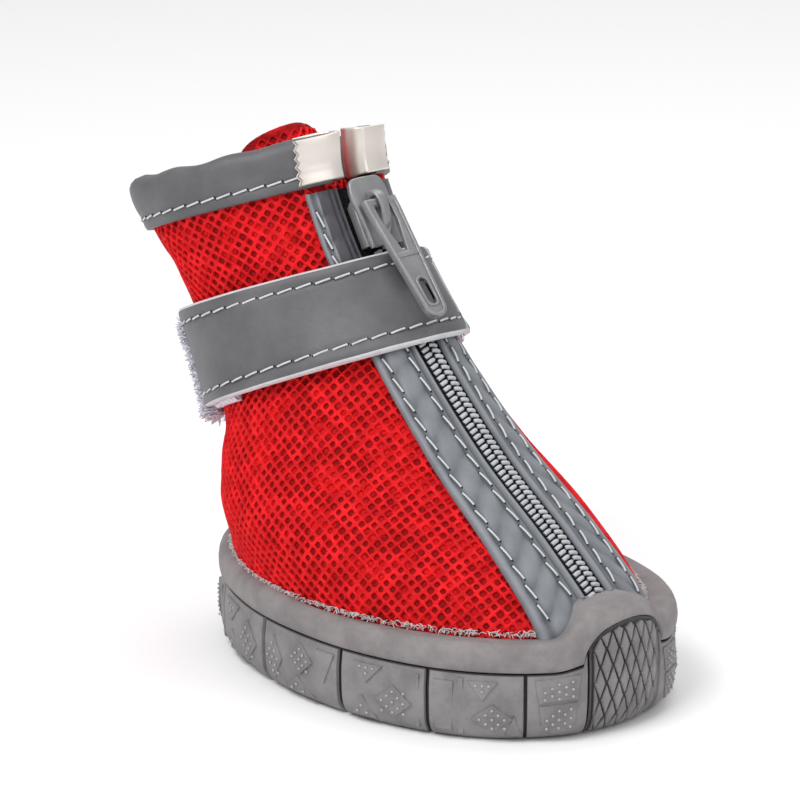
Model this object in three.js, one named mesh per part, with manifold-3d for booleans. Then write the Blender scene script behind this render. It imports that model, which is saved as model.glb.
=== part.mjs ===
// Dog boot: a short mesh boot with a centre-front zip and a wrap strap, on a moulded rubber cup sole.
// Millimetres. +X points to the toe, +Y to the boot's left side, +Z up. The origin lies on the ground
// under the middle of the sole. The boot has no left or right curve, so one shape serves all four feet.
import * as THREE from "three";
import { mergeVertices } from "three/addons/utils/BufferGeometryUtils.js";
import Module from "manifold-3d";

const wasm = await Module();
wasm.setup();

// ---------- Driving dimensions ----------

const GAP = 0.3; // clearance between pieces that are sewn, glued or laid together
const CUP_GAP = 0.4; // between the upper and the cup of the sole
const WALL = 1.6; // mesh upper with its lining
const BINDING = 0.9; // one layer of folded binding
const FACING = 0.9; // coated strip sewn beside the zip
const BAND = 1.1; // strap and loop band
const CLIP = 0.5; // sheet metal of the collar clips
const TONGUE = 1.5;

const SOLE_HALF_LENGTH = 39.2;
const SOLE_HALF_WIDTH = 26.7;
const SOLE_MIDDLE = 0.5; // x of the outline's middle
const SOLE_EGG = 0.06; // moves the greatest width towards the toe
const SOLE_FULLNESS = 0.03; // fills the corners of the outline
const FLOOR_THICKNESS = 4; // tread lugs and web under the insole
const INSOLE_THICKNESS = 2;
const RIM_HEIGHT = 14.3; // top of the rim band at the sides
const RIM_HEEL_RISE = 1;
const RIM_TOE_RISE = 4.2; // the band arches over the toe bumper
const RIM_ARCH_START = THREE.MathUtils.degToRad(24);
const RIM_ARCH_END = THREE.MathUtils.degToRad(8.5);
const RIM_ARCH_LEAN = 2; // the arch's top lies this much further in
const RIM_BAND = 4.2; // height of the smooth band
const TOE_SPRING = 0.6;
const TOE_SPRING_START = 22;
const HEEL_SPRING = 1;
const HEEL_SPRING_START = -28;

const ZIP_SLOT = 4.6; // half the throat between the two edges of the upper
const TAPE_INNER = 1.3;
const TAPE_OUTER = 4.2;
const CHAIN_HALF = 2.5;
const FACING_INNER = 3.4;
const FACING_OUTER = 7.4; // at the shaft
const FACING_TOE = 10.4; // the strip widens to this at the toe
const FACING_WIDENS = 0.8; // share of its length over which it does
const TAB_LENGTH = 20;

// Sections of the last, from the seat inside the sole to above the collar. Each is a closed ring through
// a rear and a front point of the centre plane, so the rings lean with the shaft.
const SECTIONS = [
  { name: "under", rearX: -34.6, rearZ: -4, frontX: 35, frontZ: -4, half: 21.8, egg: 0, full: 0 },
  { name: "seat", rearX: -35.4, rearZ: 4.5, frontX: 36, frontZ: 4.5, half: 22.6, egg: 0, full: 0 },
  { name: "rim", rearX: -36, rearZ: 14.5, frontX: 35.6, frontZ: 13.8, half: 23.6, egg: -0.03, full: -0.04 },
  { name: "vamp", rearX: -37.2, rearZ: 22, frontX: 25.6, frontZ: 23.2, half: 23.6, egg: -0.09, full: -0.08 },
  { name: "instep", rearX: -36.8, rearZ: 27, frontX: 11.2, frontZ: 33.8, half: 20.8, egg: -0.12, full: -0.08 },
  { name: "strap_low", rearX: -37.6, rearZ: 32.6, frontX: -2.6, frontZ: 47, half: 17, egg: -0.12, full: -0.07 },
  { name: "strap_high", rearX: -45.5, rearZ: 46.5, frontX: -11.8, frontZ: 58.6, half: 15.4, egg: -0.12, full: -0.07 },
  { name: "collar_low", rearX: -53, rearZ: 57, frontX: -18, frontZ: 69.3, half: 17, egg: -0.16, full: -0.08 },
  { name: "collar_top", rearX: -57, rearZ: 63.3, frontX: -19.2, frontZ: 76.3, half: 18, egg: -0.2, full: -0.1 },
  { name: "above", rearX: -61, rearZ: 69.6, frontX: -20.4, frontZ: 83, half: 19, egg: -0.2, full: -0.1 },
];
const LEVEL = Object.fromEntries(SECTIONS.map((row, index) => [row.name, index]));

// The sole's skin from the middle of the tread out and up to the rim's inner edge. Rows with a panel value
// lie beside the edge of the tread's flat middle panel; the others lie at an inset from the outline. Up is a
// height above the tread, share is a share of the way from the tread to the groove under the band, drop is
// measured down from the rim's top, and lean moves a row inwards at the arch. Cut rows follow the grooves
// between the side blocks.
const TREAD_DEPTH = 1.3;
const DITCH_HALF = 0.7; // half the width of the groove round the middle panel
const SKIN = [
  { name: "middle", centre: true, up: 0 },
  { name: "panel", panel: -DITCH_HALF, up: 0 },
  { name: "ditch_inner", panel: -DITCH_HALF, up: TREAD_DEPTH },
  { name: "ditch_outer", panel: DITCH_HALF, up: TREAD_DEPTH },
  { name: "block", panel: DITCH_HALF, up: 0, cut: true },
  { name: "edge", inset: 2.4, share: 0, cut: true },
  { name: "turn", inset: 1.1, share: 0.1, cut: true },
  { name: "side_low", inset: 0.5, share: 0.32, cut: true },
  { name: "side_mid", inset: 0.1, share: 0.62, cut: true },
  { name: "side_high", inset: 0.3, share: 0.94, cut: true },
  { name: "groove", inset: 1, drop: RIM_BAND },
  { name: "band_low", inset: 0.2, drop: 3.7 },
  { name: "band_mid", inset: -0.1, drop: 2.3, lean: 0.2 * RIM_ARCH_LEAN },
  { name: "band_high", inset: 0.5, drop: 0.6, lean: 0.6 * RIM_ARCH_LEAN },
  { name: "top", inset: 1.6, drop: 0, lean: RIM_ARCH_LEAN },
];

// Angles of the grooves that part the side blocks, from the toe, the same on both sides.
const BLOCK_GROOVES = [14, 31.5, 56, 79, 105, 131, 158].map(THREE.MathUtils.degToRad);
const GROOVE_HALF_WIDTH = 0.6;
const GROOVE_DEPTH = 0.9;
const CROSS_GROOVES = [-24.5, -11.5, 1.5, 13.5, 24.5]; // x of the grooves across the middle panel
const PANEL_HALF_LENGTH = 31;
const PANEL_WAIST = 10.5;
const PANEL_FLARE = 3.5;

// ---------- Small tools ----------

const smooth = (low, high, value) => THREE.MathUtils.smoothstep(value, low, high);

const range = (from, to, steps) =>
  Array.from({ length: steps + 1 }, (_, i) => from + ((to - from) * i) / steps);

const ringAngles = (count) => range(0, 2 * Math.PI, count).slice(0, count);

const point2 = ([x, y]) => new THREE.Vector2(x, y);

/** A closed geometry with shared vertices, its faces turned outwards. */
function closedGeometry(positions, indices) {
  let geometry = new THREE.BufferGeometry();
  geometry.setAttribute("position", new THREE.Float32BufferAttribute(positions, 3));
  geometry.setIndex(indices);
  geometry = mergeVertices(geometry, 1e-3);
  const index = geometry.index.array;
  const kept = [];
  for (let i = 0; i < index.length; i += 3) {
    const [a, b, c] = index.slice(i, i + 3);
    if (a !== b && b !== c && c !== a) kept.push(a, b, c);
  }
  const corner = [new THREE.Vector3(), new THREE.Vector3(), new THREE.Vector3()];
  let volume = 0;
  for (let i = 0; i < kept.length; i += 3) {
    corner.forEach((v, k) => v.fromBufferAttribute(geometry.attributes.position, kept[i + k]));
    volume += corner[0].dot(corner[1].cross(corner[2]));
  }
  geometry.setIndex(volume < 0 ? kept.reverse() : kept);
  return geometry;
}

/**
 * The triangles of a polygon's cap, turned as the polygon turns. A strip goes out along one face and back
 * along the other, so its corners are joined in pairs; any other polygon is triangulated as it lies.
 */
function capTriangles(polygon, strip) {
  const size = polygon.length;
  if (strip) {
    return range(0, size / 2 - 2, size / 2 - 2).flatMap((i) => [
      [i, i + 1, size - 2 - i],
      [i, size - 2 - i, size - 1 - i],
    ]);
  }
  const turn = Math.sign(THREE.ShapeUtils.area(polygon));
  return THREE.ShapeUtils.triangulateShape(polygon, []).map(([a, b, c]) => {
    const same = Math.sign(THREE.ShapeUtils.area([polygon[a], polygon[b], polygon[c]])) === turn;
    return same ? [a, b, c] : [a, c, b];
  });
}

/**
 * Sweeps a polygon through stations. place(corner, station) gives the corner's point in space. An open
 * sweep is closed by a cap at each end; a ring joins its last station to its first.
 */
function sweep(polygon, stations, place, { ring = false, strip = false } = {}) {
  const size = polygon.length;
  const positions = stations.flatMap((s) => polygon.flatMap((corner) => place(corner, s).toArray()));
  const indices = [];
  const spans = ring ? stations.length : stations.length - 1;
  for (let i = 0; i < spans; i++) {
    const here = i * size;
    const next = ((i + 1) % stations.length) * size;
    for (let j = 0; j < size; j++) {
      const k = (j + 1) % size;
      indices.push(here + j, here + k, next + k, here + j, next + k, next + j);
    }
  }
  if (!ring) {
    const last = (stations.length - 1) * size;
    for (const [a, b, c] of capTriangles(polygon, strip)) {
      indices.push(a, c, b, last + a, last + b, last + c);
    }
  }
  return closedGeometry(positions, indices);
}

/** A closed geometry as a solid that can be cut and joined. */
function solid(geometry) {
  const bare = (geometry.index ? geometry.toNonIndexed() : geometry.clone());
  bare.deleteAttribute("normal");
  bare.deleteAttribute("uv");
  const merged = mergeVertices(bare, 1e-4);
  const mesh = { numProp: 3, vertProperties: merged.attributes.position.array };
  mesh.triVerts = new Uint32Array(merged.index.array);
  return new wasm.Manifold(new wasm.Mesh(mesh));
}

/** The surface of a solid as a geometry. */
function surface(shape) {
  const { vertProperties, triVerts } = shape.getMesh();
  const geometry = new THREE.BufferGeometry();
  geometry.setAttribute("position", new THREE.BufferAttribute(vertProperties, 3));
  geometry.setIndex(new THREE.BufferAttribute(triVerts, 1));
  return geometry;
}

// ---------- The last ----------

const COLUMNS = ["rearX", "rearZ", "frontX", "frontZ", "half", "egg", "full"];
const sectionCurves = COLUMNS.map(
  (column) => new THREE.SplineCurve(SECTIONS.map((row, index) => new THREE.Vector2(index, row[column]))),
);

function sectionAt(level) {
  const share = level / (SECTIONS.length - 1);
  return Object.fromEntries(COLUMNS.map((column, i) => [column, sectionCurves[i].getPoint(share).y]));
}

/** A point of the last: level runs up the sections, angle runs from the toe round by the left side. */
function lastPoint(level, angle) {
  const s = sectionAt(level);
  const along = Math.cos(angle);
  const across = Math.sin(angle) * (1 + s.egg * along + s.full * along * along);
  return new THREE.Vector3(
    (s.frontX + s.rearX) / 2 + ((s.frontX - s.rearX) / 2) * along,
    s.half * across,
    (s.frontZ + s.rearZ) / 2 + ((s.frontZ - s.rearZ) / 2) * along,
  );
}

/** The last's own function grown outwards by an offset, or shrunk by a negative one. */
function form(level, angle, offset) {
  const step = 1e-3;
  const around = lastPoint(level, angle + step).sub(lastPoint(level, angle - step));
  const up = lastPoint(level + step, angle).sub(lastPoint(level - step, angle));
  return lastPoint(level, angle).addScaledVector(around.cross(up).normalize(), offset);
}

/** The angle at which the front half of a section reaches a distance from the centre plane. */
function angleAtSide(level, side) {
  let low = 0;
  let high = Math.PI / 2;
  for (let i = 0; i < 30; i++) {
    const middle = (low + high) / 2;
    if (lastPoint(level, middle).y < Math.abs(side)) low = middle;
    else high = middle;
  }
  return Math.sign(side) * low;
}

/** A point beside the zip, at a distance from the centre plane. */
const beside = (level, side, offset) => form(level, angleAtSide(level, side), offset);

/** The level at which the last reaches a height, at an angle. */
function levelAtHeight(angle, height) {
  let low = LEVEL.seat;
  let high = LEVEL.instep;
  for (let i = 0; i < 30; i++) {
    const middle = (low + high) / 2;
    if (lastPoint(middle, angle).z < height) low = middle;
    else high = middle;
  }
  return low;
}

/** The level just above the rim of the sole, at a distance from the centre plane. */
function levelAboveRim(side) {
  let level = LEVEL.rim;
  for (let i = 0; i < 12; i++) {
    const angle = angleAtSide(level, side);
    level = levelAtHeight(angle, rimHeight(angle) + GAP);
  }
  return level;
}

// ---------- Outsole and insole ----------

/** The sole's outline in plan, moved inwards by an inset. */
function outline(angle, inset) {
  const along = Math.cos(angle);
  const across = Math.sin(angle) * (1 + SOLE_EGG * along + SOLE_FULLNESS * along * along);
  const outward = new THREE.Vector2(SOLE_HALF_WIDTH * along, SOLE_HALF_LENGTH * Math.sin(angle)).normalize();
  const plan = new THREE.Vector2(SOLE_MIDDLE + SOLE_HALF_LENGTH * along, SOLE_HALF_WIDTH * across);
  return plan.addScaledVector(outward, -inset);
}

/** Height of the tread above the ground: flat from heel to forefoot, lifted at the two ends. */
function treadHeight(x) {
  const toe = Math.max(0, (x - TOE_SPRING_START) / (SOLE_HALF_LENGTH - TOE_SPRING_START));
  const heel = Math.max(0, (HEEL_SPRING_START - x) / (SOLE_HALF_LENGTH + HEEL_SPRING_START));
  return TOE_SPRING * toe * toe + HEEL_SPRING * heel * heel;
}

/** The turn from the toe to an angle, on either side. */
const turnFromToe = (angle) =>
  Math.abs(THREE.MathUtils.euclideanModulo(angle + Math.PI, 2 * Math.PI) - Math.PI);

/** One over the toe bumper, nought along the sides. */
const rimArch = (angle) => 1 - smooth(RIM_ARCH_END, RIM_ARCH_START, turnFromToe(angle));

/** Height of the rim's top: level at the sides, arched over the toe bumper. */
function rimHeight(angle) {
  const heel = smooth(Math.PI * 0.6, Math.PI, turnFromToe(angle));
  return RIM_HEIGHT + RIM_TOE_RISE * rimArch(angle) + RIM_HEEL_RISE * heel;
}

/** The hourglass edge of the middle panel of the tread, grown outwards. */
function panelEdge(angle, grow) {
  const along = Math.cos(angle);
  const half = PANEL_WAIST + PANEL_FLARE * along * along;
  const across = Math.sign(Math.sin(angle)) * Math.abs(Math.sin(angle)) ** 0.6;
  return new THREE.Vector2((PANEL_HALF_LENGTH + grow) * along, (half + grow) * across);
}

/** A point of the sole's outer skin, in one row at one station: an angle and whether a groove is there. */
function skinPoint(row, { angle, grooved }) {
  const depth = grooved && row.cut ? GROOVE_DEPTH : 0;
  let plan = new THREE.Vector2();
  if (row.panel !== undefined) plan = panelEdge(angle, row.panel);
  if (row.inset !== undefined) plan = outline(angle, row.inset + (row.lean ?? 0) * rimArch(angle) + depth);
  const lift = row.inset === undefined ? 0 : treadHeight(plan.x);
  const tread = lift + (depth > 0 && !row.share ? TREAD_DEPTH : 0);
  const high = rimHeight(angle);
  if (row.drop !== undefined) return new THREE.Vector3(plan.x, plan.y, high - row.drop);
  const up = row.up ?? Math.max(row.share * (high - RIM_BAND - tread), 0);
  return new THREE.Vector3(plan.x, plan.y, tread + up);
}

/** Stations round the sole, with four at each groove between two blocks. */
function soleStations() {
  const grooves = BLOCK_GROOVES.flatMap((angle) => [angle, 2 * Math.PI - angle]);
  const clear = (angle) => grooves.every((groove) => Math.abs(angle - groove) > 0.04);
  const stations = ringAngles(60).filter(clear).map((angle) => ({ angle, grooved: false }));
  for (const groove of grooves) {
    const half = GROOVE_HALF_WIDTH / outline(groove, 0).length();
    stations.push({ angle: groove - half, grooved: false }, { angle: groove + half, grooved: false });
    stations.push({ angle: groove - 0.6 * half, grooved: true }, { angle: groove + 0.6 * half, grooved: true });
  }
  return stations.sort((a, b) => a.angle - b.angle);
}

/** The cup: the outer skin, the rim's inner edge, the wall against the upper and the floor. */
function cupGeometry() {
  const profile = [...SKIN, ...range(1, 0, 6).map((inner) => ({ inner })), { hub: true }];
  const place = (row, station) => {
    if (row.hub) return new THREE.Vector3(0, 0, FLOOR_THICKNESS);
    if (row.inner === undefined) return skinPoint(row, station);
    const { angle } = station;
    const top = levelAtHeight(angle, rimHeight(angle) - 0.4);
    const inner = form(THREE.MathUtils.lerp(LEVEL.seat, top, row.inner), angle, CUP_GAP);
    if (row.inner === 0) inner.z = FLOOR_THICKNESS;
    return inner;
  };
  return sweep(profile, soleStations(), place, { ring: true });
}

/** The cup with grooves across the middle panel of its tread. */
function outsoleGeometry() {
  let shape = solid(cupGeometry());
  for (const x of CROSS_GROOVES) {
    const bar = new THREE.BoxGeometry(1, 2 * PANEL_WAIST, 2 * TREAD_DEPTH - 0.2);
    shape = shape.subtract(solid(bar.translate(x, 0, 0)));
  }
  return surface(shape);
}

/** A flat board inside the foot of the upper. */
function insoleGeometry() {
  const inside = -(WALL + GAP);
  const low = FLOOR_THICKNESS + GAP;
  const profile = [[0, low], [1, low], [1, low + INSOLE_THICKNESS], [0, low + INSOLE_THICKNESS]].map(point2);
  const place = (corner, angle) => {
    const edge = form(LEVEL.seat, angle, inside);
    return new THREE.Vector3(edge.x * corner.x, edge.y * corner.x, corner.y);
  };
  return sweep(profile, ringAngles(56), place, { ring: true });
}

// ---------- Upper and tongue ----------

const UPPER_TOP = LEVEL.collar_top - 0.2; // the binding folds over this edge

/** Shares of the way round from one edge of the throat to the other, closer near the throat. */
const shellShares = (count) => range(0, 1, count).map((t) => t - (0.07 * Math.sin(2 * Math.PI * t * 2)) / 2);

/** One hollow wall, open at the collar, at the throat and underneath. */
function upperGeometry() {
  const levels = range(LEVEL.seat, UPPER_TOP, 16);
  const wall = [...levels.map((level) => [level, 0]), ...levels.reverse().map((level) => [level, -WALL])];
  const place = (corner, share) => {
    const edge = angleAtSide(corner.x, ZIP_SLOT);
    return form(corner.x, THREE.MathUtils.lerp(edge, 2 * Math.PI - edge, share), corner.y);
  };
  return sweep(wall.map(point2), shellShares(38), place, { strip: true });
}

const TONGUE_OUTER = -(WALL + BINDING + CLIP + 5 * GAP);
const TONGUE_LEAN = 7; // the free top leans this far back into the collar
const TONGUE_HALF = 11.5;
const TONGUE_LOW = LEVEL.rim + 0.3;
const TONGUE_SHOULDER = LEVEL.collar_top - 0.5; // the rounded top starts here
const TONGUE_TOP = LEVEL.collar_top;
const TONGUE_LEAN_START = LEVEL.strap_high + 0.5;

/** The gusset behind the zip, with a rounded top above the collar. */
function tongueGeometry() {
  const across = range(-1, 1, 8);
  const sheet = [
    ...across.map((share) => [share, TONGUE_OUTER]),
    ...across.reverse().map((share) => [share, TONGUE_OUTER - TONGUE]),
  ];
  const levels = [...range(TONGUE_LOW, TONGUE_SHOULDER, 12), ...range(TONGUE_SHOULDER, TONGUE_TOP, 5).slice(1)];
  const place = (corner, level) => {
    const lift = Math.max(0, (level - TONGUE_SHOULDER) / (TONGUE_TOP - TONGUE_SHOULDER));
    const foot = smooth(TONGUE_LOW - 0.6, TONGUE_LOW + 1.2, level);
    const half = TONGUE_HALF * foot * Math.sqrt(1 - 0.85 * lift * lift);
    const lean = TONGUE_LEAN * smooth(TONGUE_LEAN_START, TONGUE_TOP, level);
    const point = beside(level, corner.x * half, corner.y);
    return point.setX(point.x - lean);
  };
  return sweep(sheet.map(point2), levels, place, { strip: true });
}

// ---------- Collar ----------

const COLLAR_GAP = 1.5; // half the gap in the binding at the zip

/** Folded strip over the upper's top edge, outside and inside. */
function bindingGeometry() {
  const out = GAP + BINDING;
  const inner = -WALL - GAP;
  const top = LEVEL.collar_top;
  const hem = UPPER_TOP + 0.06;
  const low = LEVEL.collar_low;
  const channel = [
    [low, GAP],
    [low, out],
    [low + 0.5, out + 0.15],
    [top - 0.08, out],
    [top, out - 0.35],
    [top, inner - BINDING + 0.35],
    [top - 0.08, inner - BINDING],
    [low + 0.1, inner - BINDING],
    [low + 0.1, inner],
    [hem, inner],
    [hem, GAP],
  ].map(point2);
  const place = (corner, share) => {
    const edge = angleAtSide(corner.x, COLLAR_GAP + CLIP + GAP);
    return form(corner.x, THREE.MathUtils.lerp(edge, 2 * Math.PI - edge, share), corner.y);
  };
  return sweep(channel, shellShares(36), place);
}

/** A bent plate that holds one end of the binding, closed towards the zip. */
function clipGeometry(side) {
  const reach = COLLAR_GAP + 6;
  const out = 3 * GAP + BINDING;
  const inner = -WALL - 3 * GAP - BINDING;
  const middle = COLLAR_GAP + 3.4;
  const fold = [
    [reach, out],
    [reach, out + CLIP],
    [middle, out + CLIP],
    [COLLAR_GAP + 0.6, out + CLIP],
    [COLLAR_GAP, out - 0.4],
    [COLLAR_GAP, inner + 0.4],
    [COLLAR_GAP + 0.6, inner - CLIP],
    [middle, inner - CLIP],
    [reach, inner - CLIP],
    [reach, inner],
    [middle, inner],
    [COLLAR_GAP + CLIP, inner],
    [COLLAR_GAP + CLIP, out],
    [middle, out],
  ].map(point2);
  const place = (corner, level) => beside(level, side * corner.x, corner.y);
  return sweep(fold, range(LEVEL.collar_low + 0.03, LEVEL.collar_top + 0.02, 3), place);
}

// ---------- Zip ----------

const ZIP_TOP = LEVEL.collar_low - 0.1; // the tapes and facings end under the binding
const CHAIN_LOW = -0.25;
const CHAIN_HIGH = 1.25;

/** A place function from the rim of the sole up along the zip: a corner is a side distance and an offset. */
const alongZip = (side, top) => (corner, share) =>
  beside(THREE.MathUtils.lerp(levelAboveRim(corner.x), top, share), side * corner.x, corner.y);

/** One half of the woven tape, level with the wall of the upper. */
function tapeGeometry(side) {
  const section = [[TAPE_INNER, -1.3], [TAPE_OUTER, -1.3], [TAPE_OUTER, -0.6], [TAPE_INNER, -0.6]];
  return sweep(section.map(point2), range(0, 1, 16), alongZip(side, ZIP_TOP));
}

/** The two closed rows of the zip as one ridged band, from the toe rim into the slider's mouth. */
function chainGeometry(top) {
  const half = CHAIN_HALF;
  const ridge = [
    [-half, CHAIN_LOW],
    [half, CHAIN_LOW],
    [half, 0.7],
    [half * 0.6, CHAIN_HIGH],
    [half * 0.25, CHAIN_HIGH],
    [0, 0.9],
    [-half * 0.25, CHAIN_HIGH],
    [-half * 0.6, CHAIN_HIGH],
    [-half, 0.7],
  ].map(point2);
  return sweep(ridge, range(0, 1, 16), alongZip(1, top));
}

/** The coated strip beside the zip, folded at its inner edge. */
function facingGeometry(side) {
  const high = GAP + FACING;
  const across = range(0, 1, 4);
  const strip = [...across.map((t) => [t, GAP]), ...across.reverse().map((t) => [t, high])].map(point2);
  const place = (corner, share) => {
    const outer = THREE.MathUtils.lerp(FACING_TOE, FACING_OUTER, smooth(0, FACING_WIDENS, share));
    const y = THREE.MathUtils.lerp(FACING_INNER, outer, corner.x);
    return alongZip(side, ZIP_TOP)(new THREE.Vector2(y, corner.y), share);
  };
  return sweep(strip, range(0, 1, 16), place, { strip: true });
}

const SLIDER_LEVEL = LEVEL.strap_high + 0.49; // between strap and collar

// The slider's own frame: x down along the zip, y to the boot's left, z outwards from the zip.
const sliderSeat = lastPoint(SLIDER_LEVEL, 0);
const sliderDown = lastPoint(SLIDER_LEVEL - 0.35, 0).sub(lastPoint(SLIDER_LEVEL + 0.35, 0)).normalize();
const sliderTilt = Math.atan2(-sliderDown.z, sliderDown.x);
const SLIDER_LENGTH = 10.6;
const SLIDER_HALF = 3.5;
const PLATE = 0.9;
const MOUTH_LOW = -2.3;
const MOUTH_HIGH = 1.65;
const BRIDGE_HALF = 0.8;
const PIVOT_X = -0.7;
const PIVOT_Z = MOUTH_HIGH + PLATE + 1.15;
const PIVOT_RADIUS = 0.6;

/** A plan shape of the slider's plates, broad at the shoulders and waisted at the mouth. */
function sliderPlate(low) {
  const half = SLIDER_HALF;
  const outlineShape = new THREE.Shape();
  outlineShape.moveTo(SLIDER_LENGTH / 2, -half * 0.8);
  outlineShape.lineTo(SLIDER_LENGTH / 2, half * 0.8);
  outlineShape.quadraticCurveTo(SLIDER_LENGTH * 0.1, half * 0.85, -SLIDER_LENGTH * 0.2, half);
  outlineShape.quadraticCurveTo(-SLIDER_LENGTH / 2, half, -SLIDER_LENGTH / 2, half * 0.45);
  outlineShape.quadraticCurveTo(-SLIDER_LENGTH * 0.42, 0, -SLIDER_LENGTH / 2, -half * 0.45);
  outlineShape.quadraticCurveTo(-SLIDER_LENGTH / 2, -half, -SLIDER_LENGTH * 0.2, -half);
  outlineShape.quadraticCurveTo(SLIDER_LENGTH * 0.1, -half * 0.85, SLIDER_LENGTH / 2, -half * 0.8);
  const plate = new THREE.ExtrudeGeometry(outlineShape, { depth: PLATE, bevelEnabled: false, curveSegments: 5 });
  return plate.translate(0, 0, low);
}

/** The bridge that holds the pull: a low arch along the slider, open from side to side. */
function bridgeGeometry() {
  const base = MOUTH_HIGH + PLATE - 0.2;
  const crown = PIVOT_Z + PIVOT_RADIUS + 1.1;
  const arch = new THREE.Shape();
  arch.moveTo(PIVOT_X - 2.4, base);
  arch.quadraticCurveTo(PIVOT_X - 2.4, crown, PIVOT_X - 0.4, crown);
  arch.quadraticCurveTo(PIVOT_X + 3.4, crown, PIVOT_X + 5, base);
  const eye = new THREE.Path();
  eye.moveTo(PIVOT_X - 1.1, base + 0.45);
  eye.lineTo(PIVOT_X + 2.6, base + 0.45);
  eye.quadraticCurveTo(PIVOT_X + 1.8, PIVOT_Z + 1, PIVOT_X, PIVOT_Z + 1);
  eye.quadraticCurveTo(PIVOT_X - 1.1, PIVOT_Z + 1, PIVOT_X - 1.1, PIVOT_Z);
  arch.holes.push(eye);
  const options = { depth: 2 * BRIDGE_HALF, bevelEnabled: false, curveSegments: 5 };
  return new THREE.ExtrudeGeometry(arch, options).rotateX(Math.PI / 2).translate(0, BRIDGE_HALF, 0);
}

/** Two plates, the neck between them, the side flanges and the bridge, as one casting. */
function sliderGeometry() {
  const neck = new THREE.BoxGeometry(2.2, 1.6, MOUTH_HIGH - MOUTH_LOW + PLATE);
  let shape = solid(sliderPlate(MOUTH_HIGH));
  shape = shape.add(solid(sliderPlate(MOUTH_LOW - PLATE)));
  shape = shape.add(solid(neck.translate(-SLIDER_LENGTH / 2 + 2.4, 0, (MOUTH_HIGH + MOUTH_LOW) / 2)));
  for (const side of [-1, 1]) {
    const flange = new THREE.BoxGeometry(SLIDER_LENGTH * 0.62, 0.45, 1.7);
    const place = [SLIDER_LENGTH * 0.16, side * (SLIDER_HALF * 0.8 + 0.15), MOUTH_HIGH - 0.65];
    shape = shape.add(solid(flange.translate(...place)));
  }
  return surface(shape.add(solid(bridgeGeometry())));
}

/** The pull: two legs from a round bar, a plate and an oblong hole near the narrow end. */
function pullGeometry() {
  const half = 3;
  const tip = 1.9;
  const depth = 1.3;
  const board = new THREE.Shape();
  board.moveTo(-PIVOT_RADIUS, -half);
  board.lineTo(1.2, -half);
  board.lineTo(TAB_LENGTH - tip - PIVOT_RADIUS, -tip);
  board.absarc(TAB_LENGTH - tip - PIVOT_RADIUS, 0, tip, -Math.PI / 2, Math.PI / 2, false);
  board.lineTo(1.2, half);
  board.lineTo(-PIVOT_RADIUS, half);
  const opening = new THREE.Shape();
  opening.moveTo(-PIVOT_RADIUS - 1, -1.75);
  opening.lineTo(2.6, -1.75);
  opening.lineTo(7.8, -0.5);
  opening.lineTo(7.8, 0.5);
  opening.lineTo(2.6, 1.75);
  opening.lineTo(-PIVOT_RADIUS - 1, 1.75);
  const eye = new THREE.Shape();
  eye.absarc(TAB_LENGTH - 5.4, 0, 0.75, Math.PI / 2, (3 * Math.PI) / 2, false);
  eye.absarc(TAB_LENGTH - 3.1, 0, 0.75, -Math.PI / 2, Math.PI / 2, false);
  const thick = (shape, height) =>
    solid(new THREE.ExtrudeGeometry(shape, { depth: height, bevelEnabled: false, curveSegments: 8 })
      .translate(0, 0, -height / 2));
  const bar = new THREE.CylinderGeometry(PIVOT_RADIUS, PIVOT_RADIUS, 2 * half - 0.4, 10);
  let shape = thick(board, depth).subtract(thick(opening, 4)).subtract(thick(eye, 4));
  shape = shape.add(solid(bar));
  return surface(shape);
}

// ---------- Strap ----------

const STRAP_OFFSET = GAP + BAND + GAP; // over the facings, the zip and the loop band
const STRAP_REAR = THREE.MathUtils.degToRad(-138); // cut end at the right rear
const STRAP_FREE = 8.6; // the free end lies this far past the zip
const LOOP_FRONT = THREE.MathUtils.degToRad(-100);
const LEFT_REAR = THREE.MathUtils.degToRad(168);

/** A band round the shaft between two levels, from one angle to another. */
function bandGeometry(fromAngle, toAngle, low, high, offset, steps, corner = 0) {
  const round = 0.25;
  const strip = [
    [0, offset],
    [1, offset],
    [1, offset + BAND - round],
    [0.985, offset + BAND],
    [0.015, offset + BAND],
    [0, offset + BAND - round],
  ].map(point2);
  const shares = corner ? [0, 0.02, 0.05, ...range(0.1, 0.9, steps), 0.95, 0.98, 1] : range(0, 1, steps);
  const place = (point, share) => {
    const fromEnd = Math.min(share, 1 - share) / 0.05;
    const clip = corner * Math.max(0, 1 - fromEnd) ** 2;
    const level = THREE.MathUtils.lerp(low + clip, high - clip, point.x);
    return form(level, THREE.MathUtils.lerp(fromAngle, toAngle, share), point.y);
  };
  return sweep(strip, shares, place);
}

// ---------- Assembly ----------

const rubber = { color: 0x76706f, roughness: 0.8, metalness: 0 };
const coated = { color: 0x7c7f81, roughness: 0.5, metalness: 0 };
const redMesh = { color: 0xd82429, roughness: 0.9, metalness: 0 };
const boot = new THREE.Group();

/** Adds one named piece to a group. */
function add(parent, name, geometry, look) {
  const mesh = new THREE.Mesh(geometry, new THREE.MeshStandardMaterial(look));
  mesh.name = name;
  parent.add(mesh);
  return mesh;
}

add(boot, "outsole", outsoleGeometry(), rubber);
add(boot, "insole", insoleGeometry(), { color: 0x3a3b3d, roughness: 0.95, metalness: 0 });
add(boot, "upper", upperGeometry(), redMesh);
add(boot, "tongue", tongueGeometry(), redMesh);
add(boot, "collar_binding", bindingGeometry(), coated);

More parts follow.
